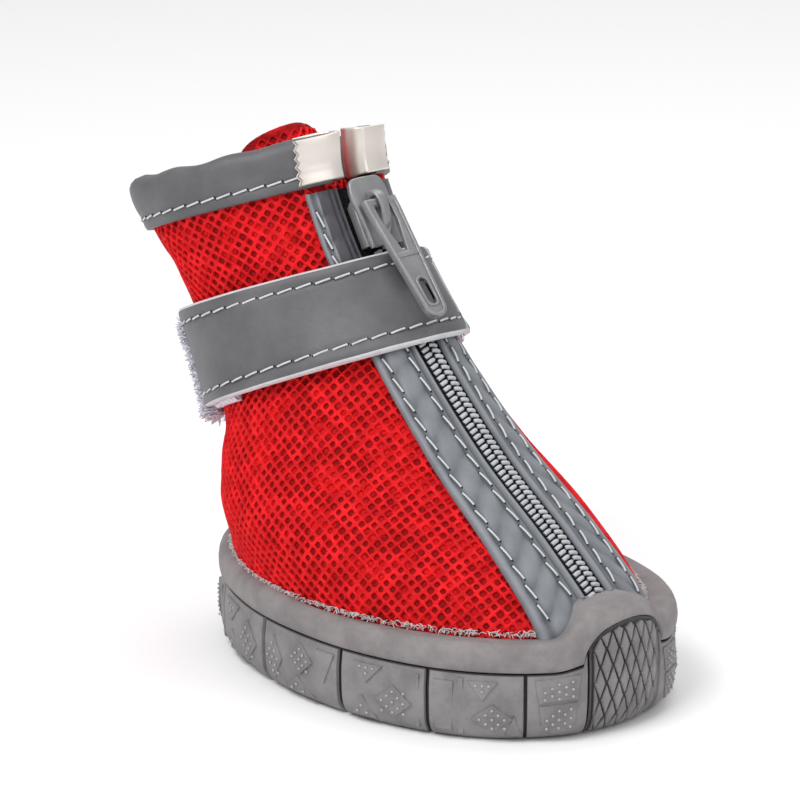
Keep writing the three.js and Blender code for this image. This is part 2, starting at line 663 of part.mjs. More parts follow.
const nickel = { color: 0xd8d4ce, roughness: 0.25, metalness: 1 };
const tapeLook = { color: 0x2b3135, roughness: 0.9, metalness: 0 };
for (const [name, side] of [["right", -1], ["left", 1]]) {
  add(boot, `collar_clip_${name}`, clipGeometry(side), nickel);
  add(boot, `zip_tape_${name}`, tapeGeometry(side), tapeLook);
  add(boot, `zip_facing_${name}`, facingGeometry(side), { color: 0x7f8b8d, roughness: 0.55, metalness: 0 });
}
add(boot, "zip_chain", chainGeometry(SLIDER_LEVEL - 0.36), { color: 0xa9adb0, roughness: 0.5, metalness: 0 });

const sliderGroup = new THREE.Group();
sliderGroup.position.copy(sliderSeat);
sliderGroup.rotation.y = sliderTilt;
boot.add(sliderGroup);
const painted = { color: 0x85888a, roughness: 0.4, metalness: 0.2 };
add(sliderGroup, "zip_slider", sliderGeometry(), painted);
const PULL_DIP = THREE.MathUtils.degToRad(-11);
const pull = add(sliderGroup, "zip_pull", pullGeometry(), painted);
pull.position.set(PIVOT_X, 0, PIVOT_Z);
pull.rotation.y = PULL_DIP;

const strapFront = angleAtSide(LEVEL.strap_low + 0.5, STRAP_FREE);
const leftFront = angleAtSide(LEVEL.strap_low + 0.5, STRAP_FREE + 1.2);
const [strapLow, strapHigh] = [LEVEL.strap_low, LEVEL.strap_high];
const facingEdge = angleAtSide(LEVEL.strap_low + 0.5, FACING_OUTER + 1);
add(
  boot,
  "strap",
  bandGeometry(STRAP_REAR, strapFront, strapLow, strapHigh, STRAP_OFFSET, 30, 0.12),
  coated,
);
add(
  boot,
  "strap_loop_band",
  bandGeometry(LOOP_FRONT, facingEdge - 2 * Math.PI, strapLow - 0.12, strapHigh - 0.1, GAP, 30),
  { color: 0xa9a3b3, roughness: 1, metalness: 0 },
);
add(
  boot,
  "strap_left",
  bandGeometry(leftFront, LEFT_REAR, strapLow, strapHigh, STRAP_OFFSET, 22),
  coated,
);

export default boot;
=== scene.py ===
"""Dog boot: a mesh boot with a front zip, a wrap strap, two collar clips and a moulded cup sole."""

import math
import random
from collections import namedtuple

import bmesh
import bpy
import numpy as np
from mathutils import Matrix, Vector
from mathutils.bvhtree import BVHTree


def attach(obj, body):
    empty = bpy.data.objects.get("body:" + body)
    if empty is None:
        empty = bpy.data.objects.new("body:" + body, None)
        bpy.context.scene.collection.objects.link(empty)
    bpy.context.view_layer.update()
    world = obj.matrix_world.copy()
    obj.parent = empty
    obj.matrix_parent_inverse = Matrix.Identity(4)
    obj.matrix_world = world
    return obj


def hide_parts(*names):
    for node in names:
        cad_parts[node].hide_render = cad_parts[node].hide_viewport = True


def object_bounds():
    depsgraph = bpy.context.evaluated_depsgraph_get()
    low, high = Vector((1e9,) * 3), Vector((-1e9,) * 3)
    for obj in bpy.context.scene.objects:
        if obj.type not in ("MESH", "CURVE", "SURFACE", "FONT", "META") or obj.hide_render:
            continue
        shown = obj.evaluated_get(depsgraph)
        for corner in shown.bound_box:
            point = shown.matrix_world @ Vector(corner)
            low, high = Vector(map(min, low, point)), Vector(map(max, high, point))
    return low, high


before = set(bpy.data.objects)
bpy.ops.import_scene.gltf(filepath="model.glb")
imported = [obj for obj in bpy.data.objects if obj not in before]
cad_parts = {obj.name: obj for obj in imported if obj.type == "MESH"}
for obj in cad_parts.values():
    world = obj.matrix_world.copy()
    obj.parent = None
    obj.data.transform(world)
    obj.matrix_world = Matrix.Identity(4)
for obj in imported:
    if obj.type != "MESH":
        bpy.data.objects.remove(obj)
CAD_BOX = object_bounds()

bl_info = {
    "name": "Dog Boot",
    "version": (1, 0, 0),
    "blender": (4, 5, 0),
    "location": "View3D > Sidebar > Dog Boot",
    "description": "Builds a mesh dog boot with a zip, a wrap strap and a moulded sole",
    "category": "Add Mesh",
}

# ---------- Sizes of the construction, in metres ----------

MM = 0.001
GAP = 0.3 * MM  # clearance between sewn and glued layers
CUP_GAP = 0.4 * MM
WALL = 1.6 * MM
BINDING = 0.9 * MM
FACING = 0.9 * MM
BAND = 1.1 * MM
CLIP = 0.5 * MM
TONGUE = 1.5 * MM
FLOOR = 4 * MM  # tread and web under the insole

SOLE_HALF_LENGTH = 39.2 * MM
SOLE_HALF_WIDTH = 26.7 * MM
SOLE_MIDDLE = 0.5 * MM
SOLE_EGG = 0.06
SOLE_FULLNESS = 0.03
RIM_HEIGHT = 14.3 * MM
RIM_HEEL_RISE = 1 * MM
RIM_TOE_RISE = 4.2 * MM
RIM_ARCH_START = math.radians(24)
RIM_ARCH_END = math.radians(8.5)
RIM_ARCH_LEAN = 2 * MM
RIM_BAND = 4.2 * MM
ARCH_HALF = math.radians(15.5)  # the bumper's arch cuts up into the rim's band
ARCH_FOOT = 1.2 * MM
ARCH_RISE = 5.2 * MM
TOE_SPRING = 0.6 * MM
TOE_SPRING_START = 22 * MM
HEEL_SPRING = 1 * MM
HEEL_SPRING_START = -28 * MM
TREAD_DEPTH = 1.3 * MM
BLOCK_GROOVES = [math.radians(turn) for turn in (14, 31.5, 56, 79, 105, 131, 158)]

# Sections of the last, in millimetres: a rear and a front point of the centre plane, the half width, and
# how far the greatest width lies to the front and the corners are filled.
Section = namedtuple("Section", "name rear_x rear_z front_x front_z half egg full")
SECTIONS = [
    Section("under", -34.6, -4, 35, -4, 21.8, 0, 0),
    Section("seat", -35.4, 4.5, 36, 4.5, 22.6, 0, 0),
    Section("rim", -36, 14.5, 35.6, 13.8, 23.6, -0.03, -0.04),
    Section("vamp", -37.2, 22, 25.6, 23.2, 23.6, -0.09, -0.08),
    Section("instep", -36.8, 27, 11.2, 33.8, 20.8, -0.12, -0.08),
    Section("strap_low", -37.6, 32.6, -2.6, 47, 17, -0.12, -0.07),
    Section("strap_high", -45.5, 46.5, -11.8, 58.6, 15.4, -0.12, -0.07),
    Section("collar_low", -53, 57, -18, 69.3, 17, -0.16, -0.08),
    Section("collar_top", -57, 63.3, -19.2, 76.3, 18, -0.2, -0.1),
    Section("above", -61, 69.6, -20.4, 83, 19, -0.2, -0.1),
]
LEVEL = {section.name: index for index, section in enumerate(SECTIONS)}
ROWS = np.array([section[1:] for section in SECTIONS]) * ([MM] * 5 + [1, 1])

FACING_INNER = 3.4 * MM
FACING_OUTER = 7.4 * MM
FACING_TOE = 10.4 * MM
FACING_WIDENS = 0.8
FACING_ROLL = 2.1 * MM  # below the strap the strip's fold closes in on the coil
FACING_ROWS = (0.26, 0.79)  # the two rows of stitches, as shares of the strip's width
FACING_MIDDLE = 0.53
UPPER_EDGE = 4.6 * MM  # how far the cloth and its net keep from the centre plane
NET_EDGE = 5.4 * MM
ZIP_SUNK = 0.13  # the zip goes on behind the rim by this share of a level
UPPER_TOP = LEVEL["collar_top"] - 0.2
ZIP_TOP = LEVEL["collar_low"] - 0.1
SLIDER_LEVEL = LEVEL["strap_high"] + 0.49
CHAIN_TOP = SLIDER_LEVEL - 0.36
COLLAR_SEAM = 0.19  # levels from the collar strip's lower edge to its stitches
COLLAR_PITCH = 2.6 * MM
FACING_PITCH = 3.4 * MM
STRAP_PITCH = 2.9 * MM
STRAP_SEAM = 0.15  # distance of the strap's stitches from its edges, as a share of its width
COLLAR_GAP = 1.5 * MM
COLLAR_CLEAR = COLLAR_GAP + 2.3 * MM
CLIP_TIP = 1.35 * MM
CLIP_DEPTH = 1.1 * MM
CLIP_TEETH = 5
STRAP_OFFSET = GAP + BAND + GAP
STRAP_REAR = math.radians(-138)
STRAP_FREE = 8.6 * MM
LOOP_FRONT = math.radians(-100)
LEFT_REAR = math.radians(168)
REAR_LOOPS = (math.radians(-153), math.radians(-135))  # where the loop band shows past the strap's ends
HEEL_LOOPS = (math.radians(168), math.radians(206))

# Soft creases of the cloth: where each lies, how far it runs round and up, and how deep it is.
Crease = namedtuple("Crease", "level angle turn rise slope depth")
CREASES = [
    Crease(4.5, math.radians(-160), 0.4, 0.16, 0.25, 0.6 * MM),
    Crease(4.6, math.radians(152), 0.6, 0.17, -0.2, 0.8 * MM),
    Crease(3.6, math.radians(-118), 0.4, 0.2, 0.6, 0.25 * MM),
    Crease(4.3, math.radians(-82), 0.4, 0.2, -0.5, 0.45 * MM),
    Crease(4.2, math.radians(95), 0.45, 0.2, 0.5, 0.5 * MM),
    Crease(6.4, math.radians(-150), 0.45, 0.14, 0.3, 0.4 * MM),
    Crease(6.6, math.radians(150), 0.5, 0.16, -0.3, 0.7 * MM),
    Crease(6.3, math.radians(-75), 0.3, 0.16, 0.5, 0.35 * MM),
    Crease(2.9, math.radians(-55), 0.3, 0.25, 0.8, 0.35 * MM),
]


def smooth(low, high, value):
    """Nought below low, one above high, and an even curve between."""
    share = np.clip((value - low) / (high - low), 0, 1)
    return share * share * (3 - 2 * share)


def mix(start, end, share):
    return start + (end - start) * share


def ridge(value, middle, width):
    """One at the middle of a soft ridge, falling to nought on both sides."""
    return np.exp(-(((value - middle) / width) ** 2))


# ---------- The last ----------


def section_at(level):
    """The values of the section at a level, on a smooth curve through the rows of the table."""
    last = len(ROWS) - 1
    level = np.clip(level, 0, last)
    index = np.minimum(np.floor(level).astype(int), last - 1)
    t = (level - index)[..., None]
    before, here, after, beyond = (ROWS[np.clip(index + k, 0, last)] for k in (-1, 0, 1, 2))
    start, end = (after - before) / 2, (beyond - here) / 2
    cubic = 2 * here - 2 * after + start + end
    square = -3 * here + 3 * after - 2 * start - end
    return ((cubic * t + square) * t + start) * t + here


def last_point(level, angle):
    """A point of the last: level runs up the sections, angle runs from the toe round by the left side."""
    level, angle = np.broadcast_arrays(np.asarray(level, float), np.asarray(angle, float))
    rear_x, rear_z, front_x, front_z, half, egg, full = np.moveaxis(section_at(level), -1, 0)
    along = np.cos(angle)
    across = np.sin(angle) * (1 + egg * along + full * along * along)
    x = (front_x + rear_x) / 2 + (front_x - rear_x) / 2 * along
    z = (front_z + rear_z) / 2 + (front_z - rear_z) / 2 * along
    return np.stack([x, half * across, z], axis=-1)


def outward(level, angle):
    """The last's outward normal."""
    step = 1e-3
    around = last_point(level, angle + step) - last_point(level, angle - step)
    up = last_point(level + step, angle) - last_point(level - step, angle)
    normal = np.cross(around, up)
    return normal / np.linalg.norm(normal, axis=-1, keepdims=True)


def form(level, angle, offset=0.0):
    """The last grown outwards by an offset, or shrunk by a negative one."""
    level, angle, offset = np.broadcast_arrays(level, angle, offset)
    return last_point(level, angle) + outward(level, angle) * offset[..., None]


def crease(level, angle):
    """How far the cloth lies inside the last, in its soft creases."""
    depth = 0.0
    for fold in CREASES:
        turn = (angle - fold.angle + math.pi) % (2 * math.pi) - math.pi
        rise = level - fold.level - fold.slope * turn
        depth = depth + fold.depth * ridge(turn, 0, fold.turn) * ridge(rise, 0, fold.rise)
    return depth


def cloth(level, angle, offset=0.0):
    """The last with the creases of worn cloth."""
    return form(level, angle, offset - crease(level, angle))


def angle_at_side(level, side):
    """The angle at which the front half of a section reaches a distance from the centre plane."""
    level, side = np.broadcast_arrays(np.asarray(level, float), np.asarray(side, float))
    low, high = np.zeros(level.shape), np.full(level.shape, math.pi / 2)
    for _ in range(30):
        middle = (low + high) / 2
        short = last_point(level, middle)[..., 1] < np.abs(side)
        low, high = np.where(short, middle, low), np.where(short, high, middle)
    return np.sign(side) * low


def angle_round(level, share, clear):
    """The angle at a share of the way round the back, from one side of the zip to the other."""
    edge = angle_at_side(level, clear)
    return mix(edge, 2 * math.pi - edge, share)


def beside(level, side, offset=0.0):
    """A point beside the zip, at a distance from the centre plane."""
    return form(level, angle_at_side(level, side), offset)


def level_at_height(angle, height):
    """The level at which the last reaches a height, at an angle."""
    angle, height = np.broadcast_arrays(np.asarray(angle, float), np.asarray(height, float))
    low = np.full(angle.shape, float(LEVEL["seat"]))
    high = np.full(angle.shape, float(LEVEL["instep"]))
    for _ in range(30):
        middle = (low + high) / 2
        under = last_point(middle, angle)[..., 2] < height
        low, high = np.where(under, middle, low), np.where(under, high, middle)
    return low


def level_above_rim(side):
    """The level just above the rim of the sole, at a distance from the centre plane."""
    level = np.full(np.shape(side), float(LEVEL["rim"]))
    for _ in range(12):
        angle = angle_at_side(level, side)
        level = level_at_height(angle, rim_height(angle) + GAP)
    return level


def along_zip(side, share, offset, top=ZIP_TOP):
    """A point beside the zip, from the rim of the sole up to a level."""
    side = np.asarray(side, float)
    return beside(mix(level_above_rim(np.abs(side)) - ZIP_SUNK, top, share), side, offset)


# ---------- The sole ----------


def turn_from_toe(angle):
    return np.abs((angle + math.pi) % (2 * math.pi) - math.pi)


def rim_arch(angle):
    """One over the toe bumper, nought along the sides."""
    return 1 - smooth(RIM_ARCH_END, RIM_ARCH_START, turn_from_toe(angle))


def heel_rise(angle):
    """How much higher the rim lies towards the heel."""
    return RIM_HEEL_RISE * smooth(math.pi * 0.6, math.pi, turn_from_toe(angle))


def rim_height(angle):
    return RIM_HEIGHT + RIM_TOE_RISE * rim_arch(angle) + heel_rise(angle)


def band_foot(angle):
    """Height of the rim band's lower edge, arched over the bumper."""
    share = np.clip(turn_from_toe(angle) / ARCH_HALF, 0, 1)
    arch = ARCH_FOOT * rim_arch(angle) + ARCH_RISE * np.sqrt(1 - share * share)
    return RIM_HEIGHT - RIM_BAND + arch + heel_rise(angle)


def outline(angle, inset=0.0):
    """The sole's outline in plan, moved inwards by an inset."""
    along = np.cos(angle)
    across = np.sin(angle) * (1 + SOLE_EGG * along + SOLE_FULLNESS * along * along)
    out = np.stack([SOLE_HALF_WIDTH * along, SOLE_HALF_LENGTH * np.sin(angle)], axis=-1)
    out /= np.linalg.norm(out, axis=-1, keepdims=True)
    plan = np.stack([SOLE_MIDDLE + SOLE_HALF_LENGTH * along, SOLE_HALF_WIDTH * across], axis=-1)
    return plan - out * np.asarray(inset)[..., None]


def tread_height(x):
    """Height of the tread above the ground: flat from heel to forefoot, lifted at the two ends."""
    toe = np.maximum(0, (x - TOE_SPRING_START) / (SOLE_HALF_LENGTH - TOE_SPRING_START))
    heel = np.maximum(0, (HEEL_SPRING_START - x) / (SOLE_HALF_LENGTH + HEEL_SPRING_START))
    return TOE_SPRING * toe * toe + HEEL_SPRING * heel * heel


def side_point(angle, share, out=0.0):
    """A point of the sole's side, from the tread's edge at share nought to the groove under the band."""
    angle, share, out = np.broadcast_arrays(angle, share, np.asarray(out, float))
    inset = 0.15 + 2.25 * np.exp(-9 * share) + 0.3 * smooth(0.7, 1, share)
    plan = outline(angle, inset * MM - out)
    tread = tread_height(plan[..., 0])
    height = tread + share * (band_foot(angle) - tread)
    return np.concatenate([plan, height[..., None]], axis=-1)


# ---------- Meshes ----------


class Shape:
    """Points and faces gathered for one mesh, with a finish number for each face."""

    def __init__(self):
        self.points = []
        self.faces = []
        self.finishes = []
        self.count = 0

    def add(self, points, faces):
        points = np.asarray(points, float).reshape(-1, 3)
        self.points.append(points)
        self.faces.extend(tuple(self.count + corner for corner in face) for face in faces)
        self.finishes.extend([0] * len(faces))
        self.count += len(points)

    def sheet(self, rings):
        """One layer of quads over rings of points."""
        self.add(rings, grid_faces(*rings.shape[:2], True))

    def slab(self, outer, inner):
        """A closed slab between two grids of points, joined round its edges."""
        loop = np.concatenate([outer, inner[:, ::-1]], axis=1)
        rows, size = loop.shape[:2]
        faces = grid_faces(rows, size, True)
        for base in (0, (rows - 1) * size):
            pairs = range(size // 2 - 1)
            faces += [(base + i, base + i + 1, base + size - 2 - i, base + size - 1 - i) for i in pairs]
        self.add(loop, faces)

    def tube(self, loops):
        """A closed tube through loops of points, with a flat cap at each end."""
        rows, size = loops.shape[:2]
        faces = grid_faces(rows, size, True)
        faces += [tuple(range(size)), tuple((rows - 1) * size + i for i in range(size))]
        self.add(loops, faces)


def grid_faces(rows, columns, closed=False):
    """Quads over a grid of points. In a closed grid each row runs on to its own start."""
    faces = []
    for i in range(rows - 1):
        here, above = i * columns, (i + 1) * columns
        for j in range(columns if closed else columns - 1):
            k = (j + 1) % columns
            faces.append((here + j, here + k, above + k, above + j))
    return faces


def smoothed(work, sharp):
    """Turns the faces outwards and shades them smooth, but for edges sharper than an angle in degrees."""
    bmesh.ops.recalc_face_normals(work, faces=work.faces)
    for face in work.faces:
        face.smooth = True
    for edge in work.edges:
        edge.smooth = edge.calc_face_angle(0) < math.radians(sharp)


def mesh_of(name, shape, finishes, sharp=40):
    """A mesh of a gathered shape, with its materials."""
    mesh = bpy.data.meshes.new(name)
    mesh.from_pydata(np.concatenate(shape.points).tolist(), [], shape.faces)
    for finish in finishes:
        mesh.materials.append(finish)
    mesh.polygons.foreach_set("material_index", shape.finishes)
    work = bmesh.new()
    work.from_mesh(mesh)
    bmesh.ops.remove_doubles(work, verts=work.verts, dist=1e-7)
    smoothed(work, sharp)
    work.to_mesh(mesh)
    work.free()
    return mesh


def added(name, data):
    """A new object in the scene."""
    thing = bpy.data.objects.new(name, data)
    bpy.context.scene.collection.objects.link(thing)
    return thing


def plain_mesh(thing):
    """The finished mesh of an object, which is taken out of the scene."""
    seen = thing.evaluated_get(bpy.context.evaluated_depsgraph_get())
    mesh = bpy.data.meshes.new_from_object(seen)
    bpy.data.objects.remove(thing)
    return mesh


def piece(name, mesh, replaced=(), body="boot"):
    """Puts a finished mesh into the scene as a piece that rides on a body."""
    thing = added(name, mesh)
    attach(thing, body)
    if replaced:
        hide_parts(*replaced)


def resampled(line, pitch, start=0.0):
    """Shares of a line's points that lie a pitch apart along it."""
    steps = np.linalg.norm(np.diff(line, axis=0), axis=1)
    travel = np.concatenate([[0], np.cumsum(steps)])
    places = np.arange(start, steps.sum(), pitch)
    return np.interp(places, travel, np.linspace(0, 1, len(line)))


# ---------- Node trees ----------


class Number:
    """A socket of a node tree. Sums on a number are written as Python and add Math nodes."""

    def __init__(self, tree, socket):
        self.tree = tree
        self.socket = socket

    def sum(self, operation, *values):
        return self.tree.node("ShaderNodeMath", {"operation": operation}, dict(enumerate(values)))

    def __add__(self, other):
        return self.sum("ADD", self, other)

    def __sub__(self, other):
        return self.sum("SUBTRACT", self, other)

    def __rsub__(self, other):
        return self.sum("SUBTRACT", other, self)

    def __mul__(self, other):
        return self.sum("MULTIPLY", self, other)

    __radd__ = __add__
    __rmul__ = __mul__

    def between(self, low, high):
        """Nought below low, one above high, and smooth between."""
        values = {"Value": self, "From Min": low, "From Max": high}
        return self.tree.node("ShaderNodeMapRange", {"interpolation_type": "SMOOTHSTEP"}, values)


class Tree:
    """A node tree whose nodes all come from one method."""

    def __init__(self, tree):
        self.tree = tree

    def node(self, kind, settings=None, inputs=None, output=0):
        made = self.tree.nodes.new(kind)
        for key, value in (settings or {}).items():
            setattr(made, key, value)
        for key, value in (inputs or {}).items():
            if isinstance(value, Number):
                self.tree.links.new(value.socket, made.inputs[key])
            else:
                made.inputs[key].default_value = value
        return Number(self, made.outputs[output]) if made.outputs else made


class Finish(Tree):
    """A material whose colour, roughness and relief are worked out over the surface."""

    def __init__(self, name):
        self.material = bpy.data.materials.new(name)
        self.material.use_nodes = True
        super().__init__(self.material.node_tree)
        self.tree.nodes.clear()
        self.place = self.node("ShaderNodeTexCoord", output="Object")

    def attribute(self, name):
        return self.node("ShaderNodeAttribute", {"attribute_name": name}, output="Fac")

    def noise(self, size, detail=2.0, rough=0.5):
        """Soft noise whose features are about a size in metres."""
        values = {"Vector": self.place, "Scale": 1 / size, "Detail": detail, "Roughness": rough}
        return self.node("ShaderNodeTexNoise", inputs=values)

    def cells(self, size):
        """Distance from the middles of cells of about a size in metres."""
        values = {"Vector": self.place, "Scale": 1 / size}
        return self.node("ShaderNodeTexVoronoi", inputs=values, output="Distance")

    def mixed(self, share, start, end):
        """A colour between two colours."""
        ends = {0: share}
        for index, colour in ((6, start), (7, end)):
            ends[index] = colour if isinstance(colour, Number) else (*colour, 1)
        return self.node("ShaderNodeMix", {"data_type": "RGBA"}, ends, output=2)

    def shade(self, colour, roughness, height=None, depth=0.1 * MM, **constants):
        """Ends the material: depth is the height of the relief, constants are the shader's own sockets."""
        values = {"Base Color": colour, "Roughness": roughness}
        if not isinstance(colour, Number):
            values["Base Color"] = (*colour, 1)
        if height is not None:
            relief = {"Height": height, "Distance": depth, "Strength": 1.0}
            values["Normal"] = self.node("ShaderNodeBump", inputs=relief)
        for key, value in constants.items():
            values[key.replace("_", " ").title().replace("Ior", "IOR")] = value
        surface = self.node("ShaderNodeBsdfPrincipled", inputs=values)
        self.node("ShaderNodeOutputMaterial", inputs={"Surface": surface})
        return self.material


def red_knit(colours):
    """The bright threads of the net, paler where they catch the light and a little uneven."""
    finish = Finish("red_knit")
    patches = finish.noise(2.6 * MM, 3).between(0.35, 0.68)
    fibres = finish.noise(0.22 * MM, 2, 0.7)
    colour = finish.mixed(patches, colours.mesh_deep, colours.mesh)
    colour = finish.mixed(fibres.between(0.56, 0.8) * 0.5, colour, colours.mesh_light)
    return finish.shade(colour, 0.6 + fibres * 0.2, fibres, 0.12 * MM, specular_ior_level=0.2)


def red_ground(colours):
    """The lower layer of the cloth, brighter where its own threads rise; its dark red in the holes is partly
    the layer's own colour and partly painted shade of the holes.
    """
    finish = Finish("red_ground")
    threads = finish.cells(0.5 * MM)
    patches = finish.noise(3.2 * MM, 2).between(0.46, 0.62)
    # Painted shade: the hole colour deepens the layer's own red to stand for the shade inside the holes of
    # the net.
    colour = finish.mixed(patches * 0.8, colours.hole, colours.mesh)
    colour = finish.mixed(threads.between(0.25, 0.75) * 0.5, colour, colours.hole)
    return finish.shade(colour, 0.85, threads, 0.15 * MM, specular_ior_level=0.25)


def coated_cloth(colours):
    """Smooth coated cloth with a fine grain, a little dusty and paler in soft patches."""
    finish = Finish("coated_cloth")
    cloud = finish.noise(7 * MM, 4, 0.6)
    fine = finish.noise(0.35 * MM, 3, 0.6)
    colour = finish.mixed(cloud.between(0.3, 0.75), colours.coated, colours.coated_pale)
    return finish.shade(colour, 0.42 + fine * 0.16, fine + cloud * 2, 0.05 * MM)


def facing_cloth(colours):
    """Coated strip beside the zip, with painted light: a painted highlight on its raised folds, painted shade
    where it dips and painted shade on its inner part towards the collar.
    """
    finish = Finish("facing_cloth")
    # Painted highlight and shade: fold follows the strip's relief, so its swells take the pale colour and its
    # dips the dark one.
    fold = finish.attribute("fold")
    # Painted shade: shaft darkens the inner part of the strip's upper end, towards the collar, to nearly the
    # tape's colour.
    shaft = finish.attribute("shaft")
    fine = finish.noise(0.3 * MM, 3, 0.6)
    cloud = finish.noise(4 * MM, 3)
    colour = finish.mixed(fold, colours.facing_dark, colours.facing)
    colour = finish.mixed(cloud.between(0.4, 0.75) * 0.35, colour, colours.facing_dark)
    colour = finish.mixed(shaft * 0.88, colour, colours.tape)
    return finish.shade(colour, 0.42 + fine * 0.2, fine, 0.06 * MM)


def woven_tape(colours):
    """Dark woven tape with fine ribs along it."""
    finish = Finish("woven_tape")
    weave = finish.cells(0.34 * MM)
    colour = finish.mixed(weave.between(0.1, 0.6), colours.tape, colours.tape_dark)
    return finish.shade(colour, 0.85, weave, 0.12 * MM, specular_ior_level=0.3)


def moulded_rubber(name, colour, pale, grain):
    """Matte rubber, dusty in patches, with a fine moulded grain."""
    finish = Finish(name)
    cloud = finish.noise(5 * MM, 5, 0.65)
    fine = finish.noise(0.35 * MM, 3, 0.7)
    shade = finish.mixed(cloud.between(0.3, 0.7), colour, pale)
    shade = finish.mixed(fine.between(0.62, 0.8) * grain, shade, (0.42, 0.41, 0.41))
    return finish.shade(shade, 0.5 + cloud * 0.25, fine + cloud, 0.06 * MM, specular_ior_level=0.4)


def plain_finish(name, colour, roughness, grain=0.3 * MM, depth=0.04 * MM, **constants):
    """A nearly even finish: its colour wanders a little and its relief is fine."""
    finish = Finish(name)
    fine = finish.noise(grain, 3, 0.6)
    cloud = finish.noise(grain * 9, 3)
    dark = tuple(channel * 0.88 for channel in colour)
    shade = finish.mixed(cloud.between(0.3, 0.7), dark, colour)
    return finish.shade(shade, roughness + (fine - 0.5) * 0.1, fine, depth, **constants)


def plated_metal(colours):
    """Bright nickel plate with faint streaks."""
    finish = Finish("nickel_plate")
    streaks = finish.noise(2.4 * MM, 3, 0.5)
    colour = finish.mixed(streaks.between(0.35, 0.8) * 0.25, colours.nickel, (0.7, 0.66, 0.62))
    return finish.shade(colour, 0.3 + streaks * 0.1, metallic=0.7)


def loop_fabric(colours):
    """Pale loop fabric that the strap fastens to."""
    finish = Finish("loop_fabric")
    loops = finish.cells(0.45 * MM)
    colour = finish.mixed(loops.between(0.1, 0.7), colours.loop_pale, colours.loop)
    return finish.shade(colour, 0.95, loops, 0.25 * MM, sheen_weight=0.5)


def make_finishes(colours):
    return {
        "knit": red_knit(colours),
        "ground": red_ground(colours),
        "coated": coated_cloth(colours),
        "edge": plain_finish("cut_edge", tuple(colours.cut_edge), 0.7),
        "facing": facing_cloth(colours),
        "tape": woven_tape(colours),
        "rubber": moulded_rubber("sole_rubber", colours.rubber, colours.rubber_pale, 0.35),
        "rim": moulded_rubber("rim_rubber", colours.rim, colours.rim_pale, 0.12),
        # Painted shade: a dark rubber for the sole's grooves, its sunk bumper and the faces underneath and
        # inside.
        "recess": moulded_rubber("recess_rubber", colours.recess, colours.recess, 0.05),
        "thread": plain_finish("thread", tuple(colours.thread), 0.6, 0.12 * MM),
        # Painted shade: near-black dots stand for the shade inside the needle holes.
        "needle": plain_finish("needle_hole", (0.012, 0.013, 0.014), 0.9),
        "coil": plain_finish("coil_plastic", tuple(colours.coil), 0.35, 0.2 * MM),
        "paint": plain_finish("slider_paint", tuple(colours.paint), 0.34, 0.25 * MM, metallic=0.55),
        "nickel": plated_metal(colours),
        "loops": loop_fabric(colours),
        "lining": plain_finish("lining", (0.05, 0.012, 0.014), 0.9, 0.4 * MM, 0.1 * MM),
        "board": plain_finish("insole_felt", (0.03, 0.03, 0.033), 0.95, 0.35 * MM, 0.12 * MM),
        # Pale dots on the sole's blocks and lugs, paler than the rubber round them.
        "dust": plain_finish("mould_dots", tuple(colours.dots), 0.6),
        "glue": plain_finish("glue_fuzz", (0.62, 0.6, 0.6), 0.8),
    }


# ---------- Small repeated shapes ----------

Place = namedtuple("Place", "point along out size")


def repeat_tree(name, inputs, shape_of):
    """Makes a Geometry Nodes tree that sets a small shape on every point, turned by its attributes."""
    group = bpy.data.node_groups.new(name, "GeometryNodeTree")
    sockets = {"Geometry": "NodeSocketGeometry", **inputs, "Material": "NodeSocketMaterial"}
    for label, kind in sockets.items():
        group.interface.new_socket(name=label, in_out="INPUT", socket_type=kind)
    group.interface.new_socket(name="Geometry", in_out="OUTPUT", socket_type="NodeSocketGeometry")
    tree = Tree(group)
    entry = group.nodes.new("NodeGroupInput")
    given = {label: Number(tree, entry.outputs[label]) for label in sockets}

    def stored(label, kind="FLOAT_VECTOR"):
        return tree.node("GeometryNodeInputNamedAttribute", {"data_type": kind}, {"Name": label})

    axes = {"primary_axis": "Z", "secondary_axis": "X"}
    turn = tree.node("FunctionNodeAxesToRotation", axes, {0: stored("out"), 1: stored("along")})
    placed = {"Points": given["Geometry"], "Instance": shape_of(tree, given), "Rotation": turn}
    placed["Scale"] = stored("size")
    copies = tree.node("GeometryNodeInstanceOnPoints", inputs=placed)
    solid = tree.node("GeometryNodeRealizeInstances", inputs={"Geometry": copies})
    solid = tree.node("GeometryNodeSetShadeSmooth", inputs={"Geometry": solid, "Shade Smooth": True})
    solid = tree.node("GeometryNodeSetMaterial", inputs={"Geometry": solid, "Material": given["Material"]})
    tree.node("NodeGroupOutput", inputs={"Geometry": solid})


def thread_shape(tree, given):
    """A short thread along X, bent up in the middle."""
    half = given["Length"] * 0.5
    ends = [
        tree.node("ShaderNodeCombineXYZ", inputs={"X": x, "Z": z})
        for x, z in ((half * -1, 0.0), (0.0, given["Rise"] * 2), (half, 0.0))
    ]
    bend = dict(zip(("Start", "Middle", "End"), ends), Resolution=4)
    line = tree.node("GeometryNodeCurveQuadraticBezier", inputs=bend)
    ring = {"Resolution": 6, "Radius": given["Thickness"] * 0.5}
    ring = tree.node("GeometryNodeCurvePrimitiveCircle", inputs=ring)
    swept = {"Curve": line, "Profile Curve": ring, "Fill Caps": True}
    return tree.node("GeometryNodeCurveToMesh", inputs=swept)


def grain_shape(tree, given):
    """A small round grain."""
    return tree.node("GeometryNodeMeshIcoSphere", inputs={"Radius": given["Radius"], "Subdivisions": 2})


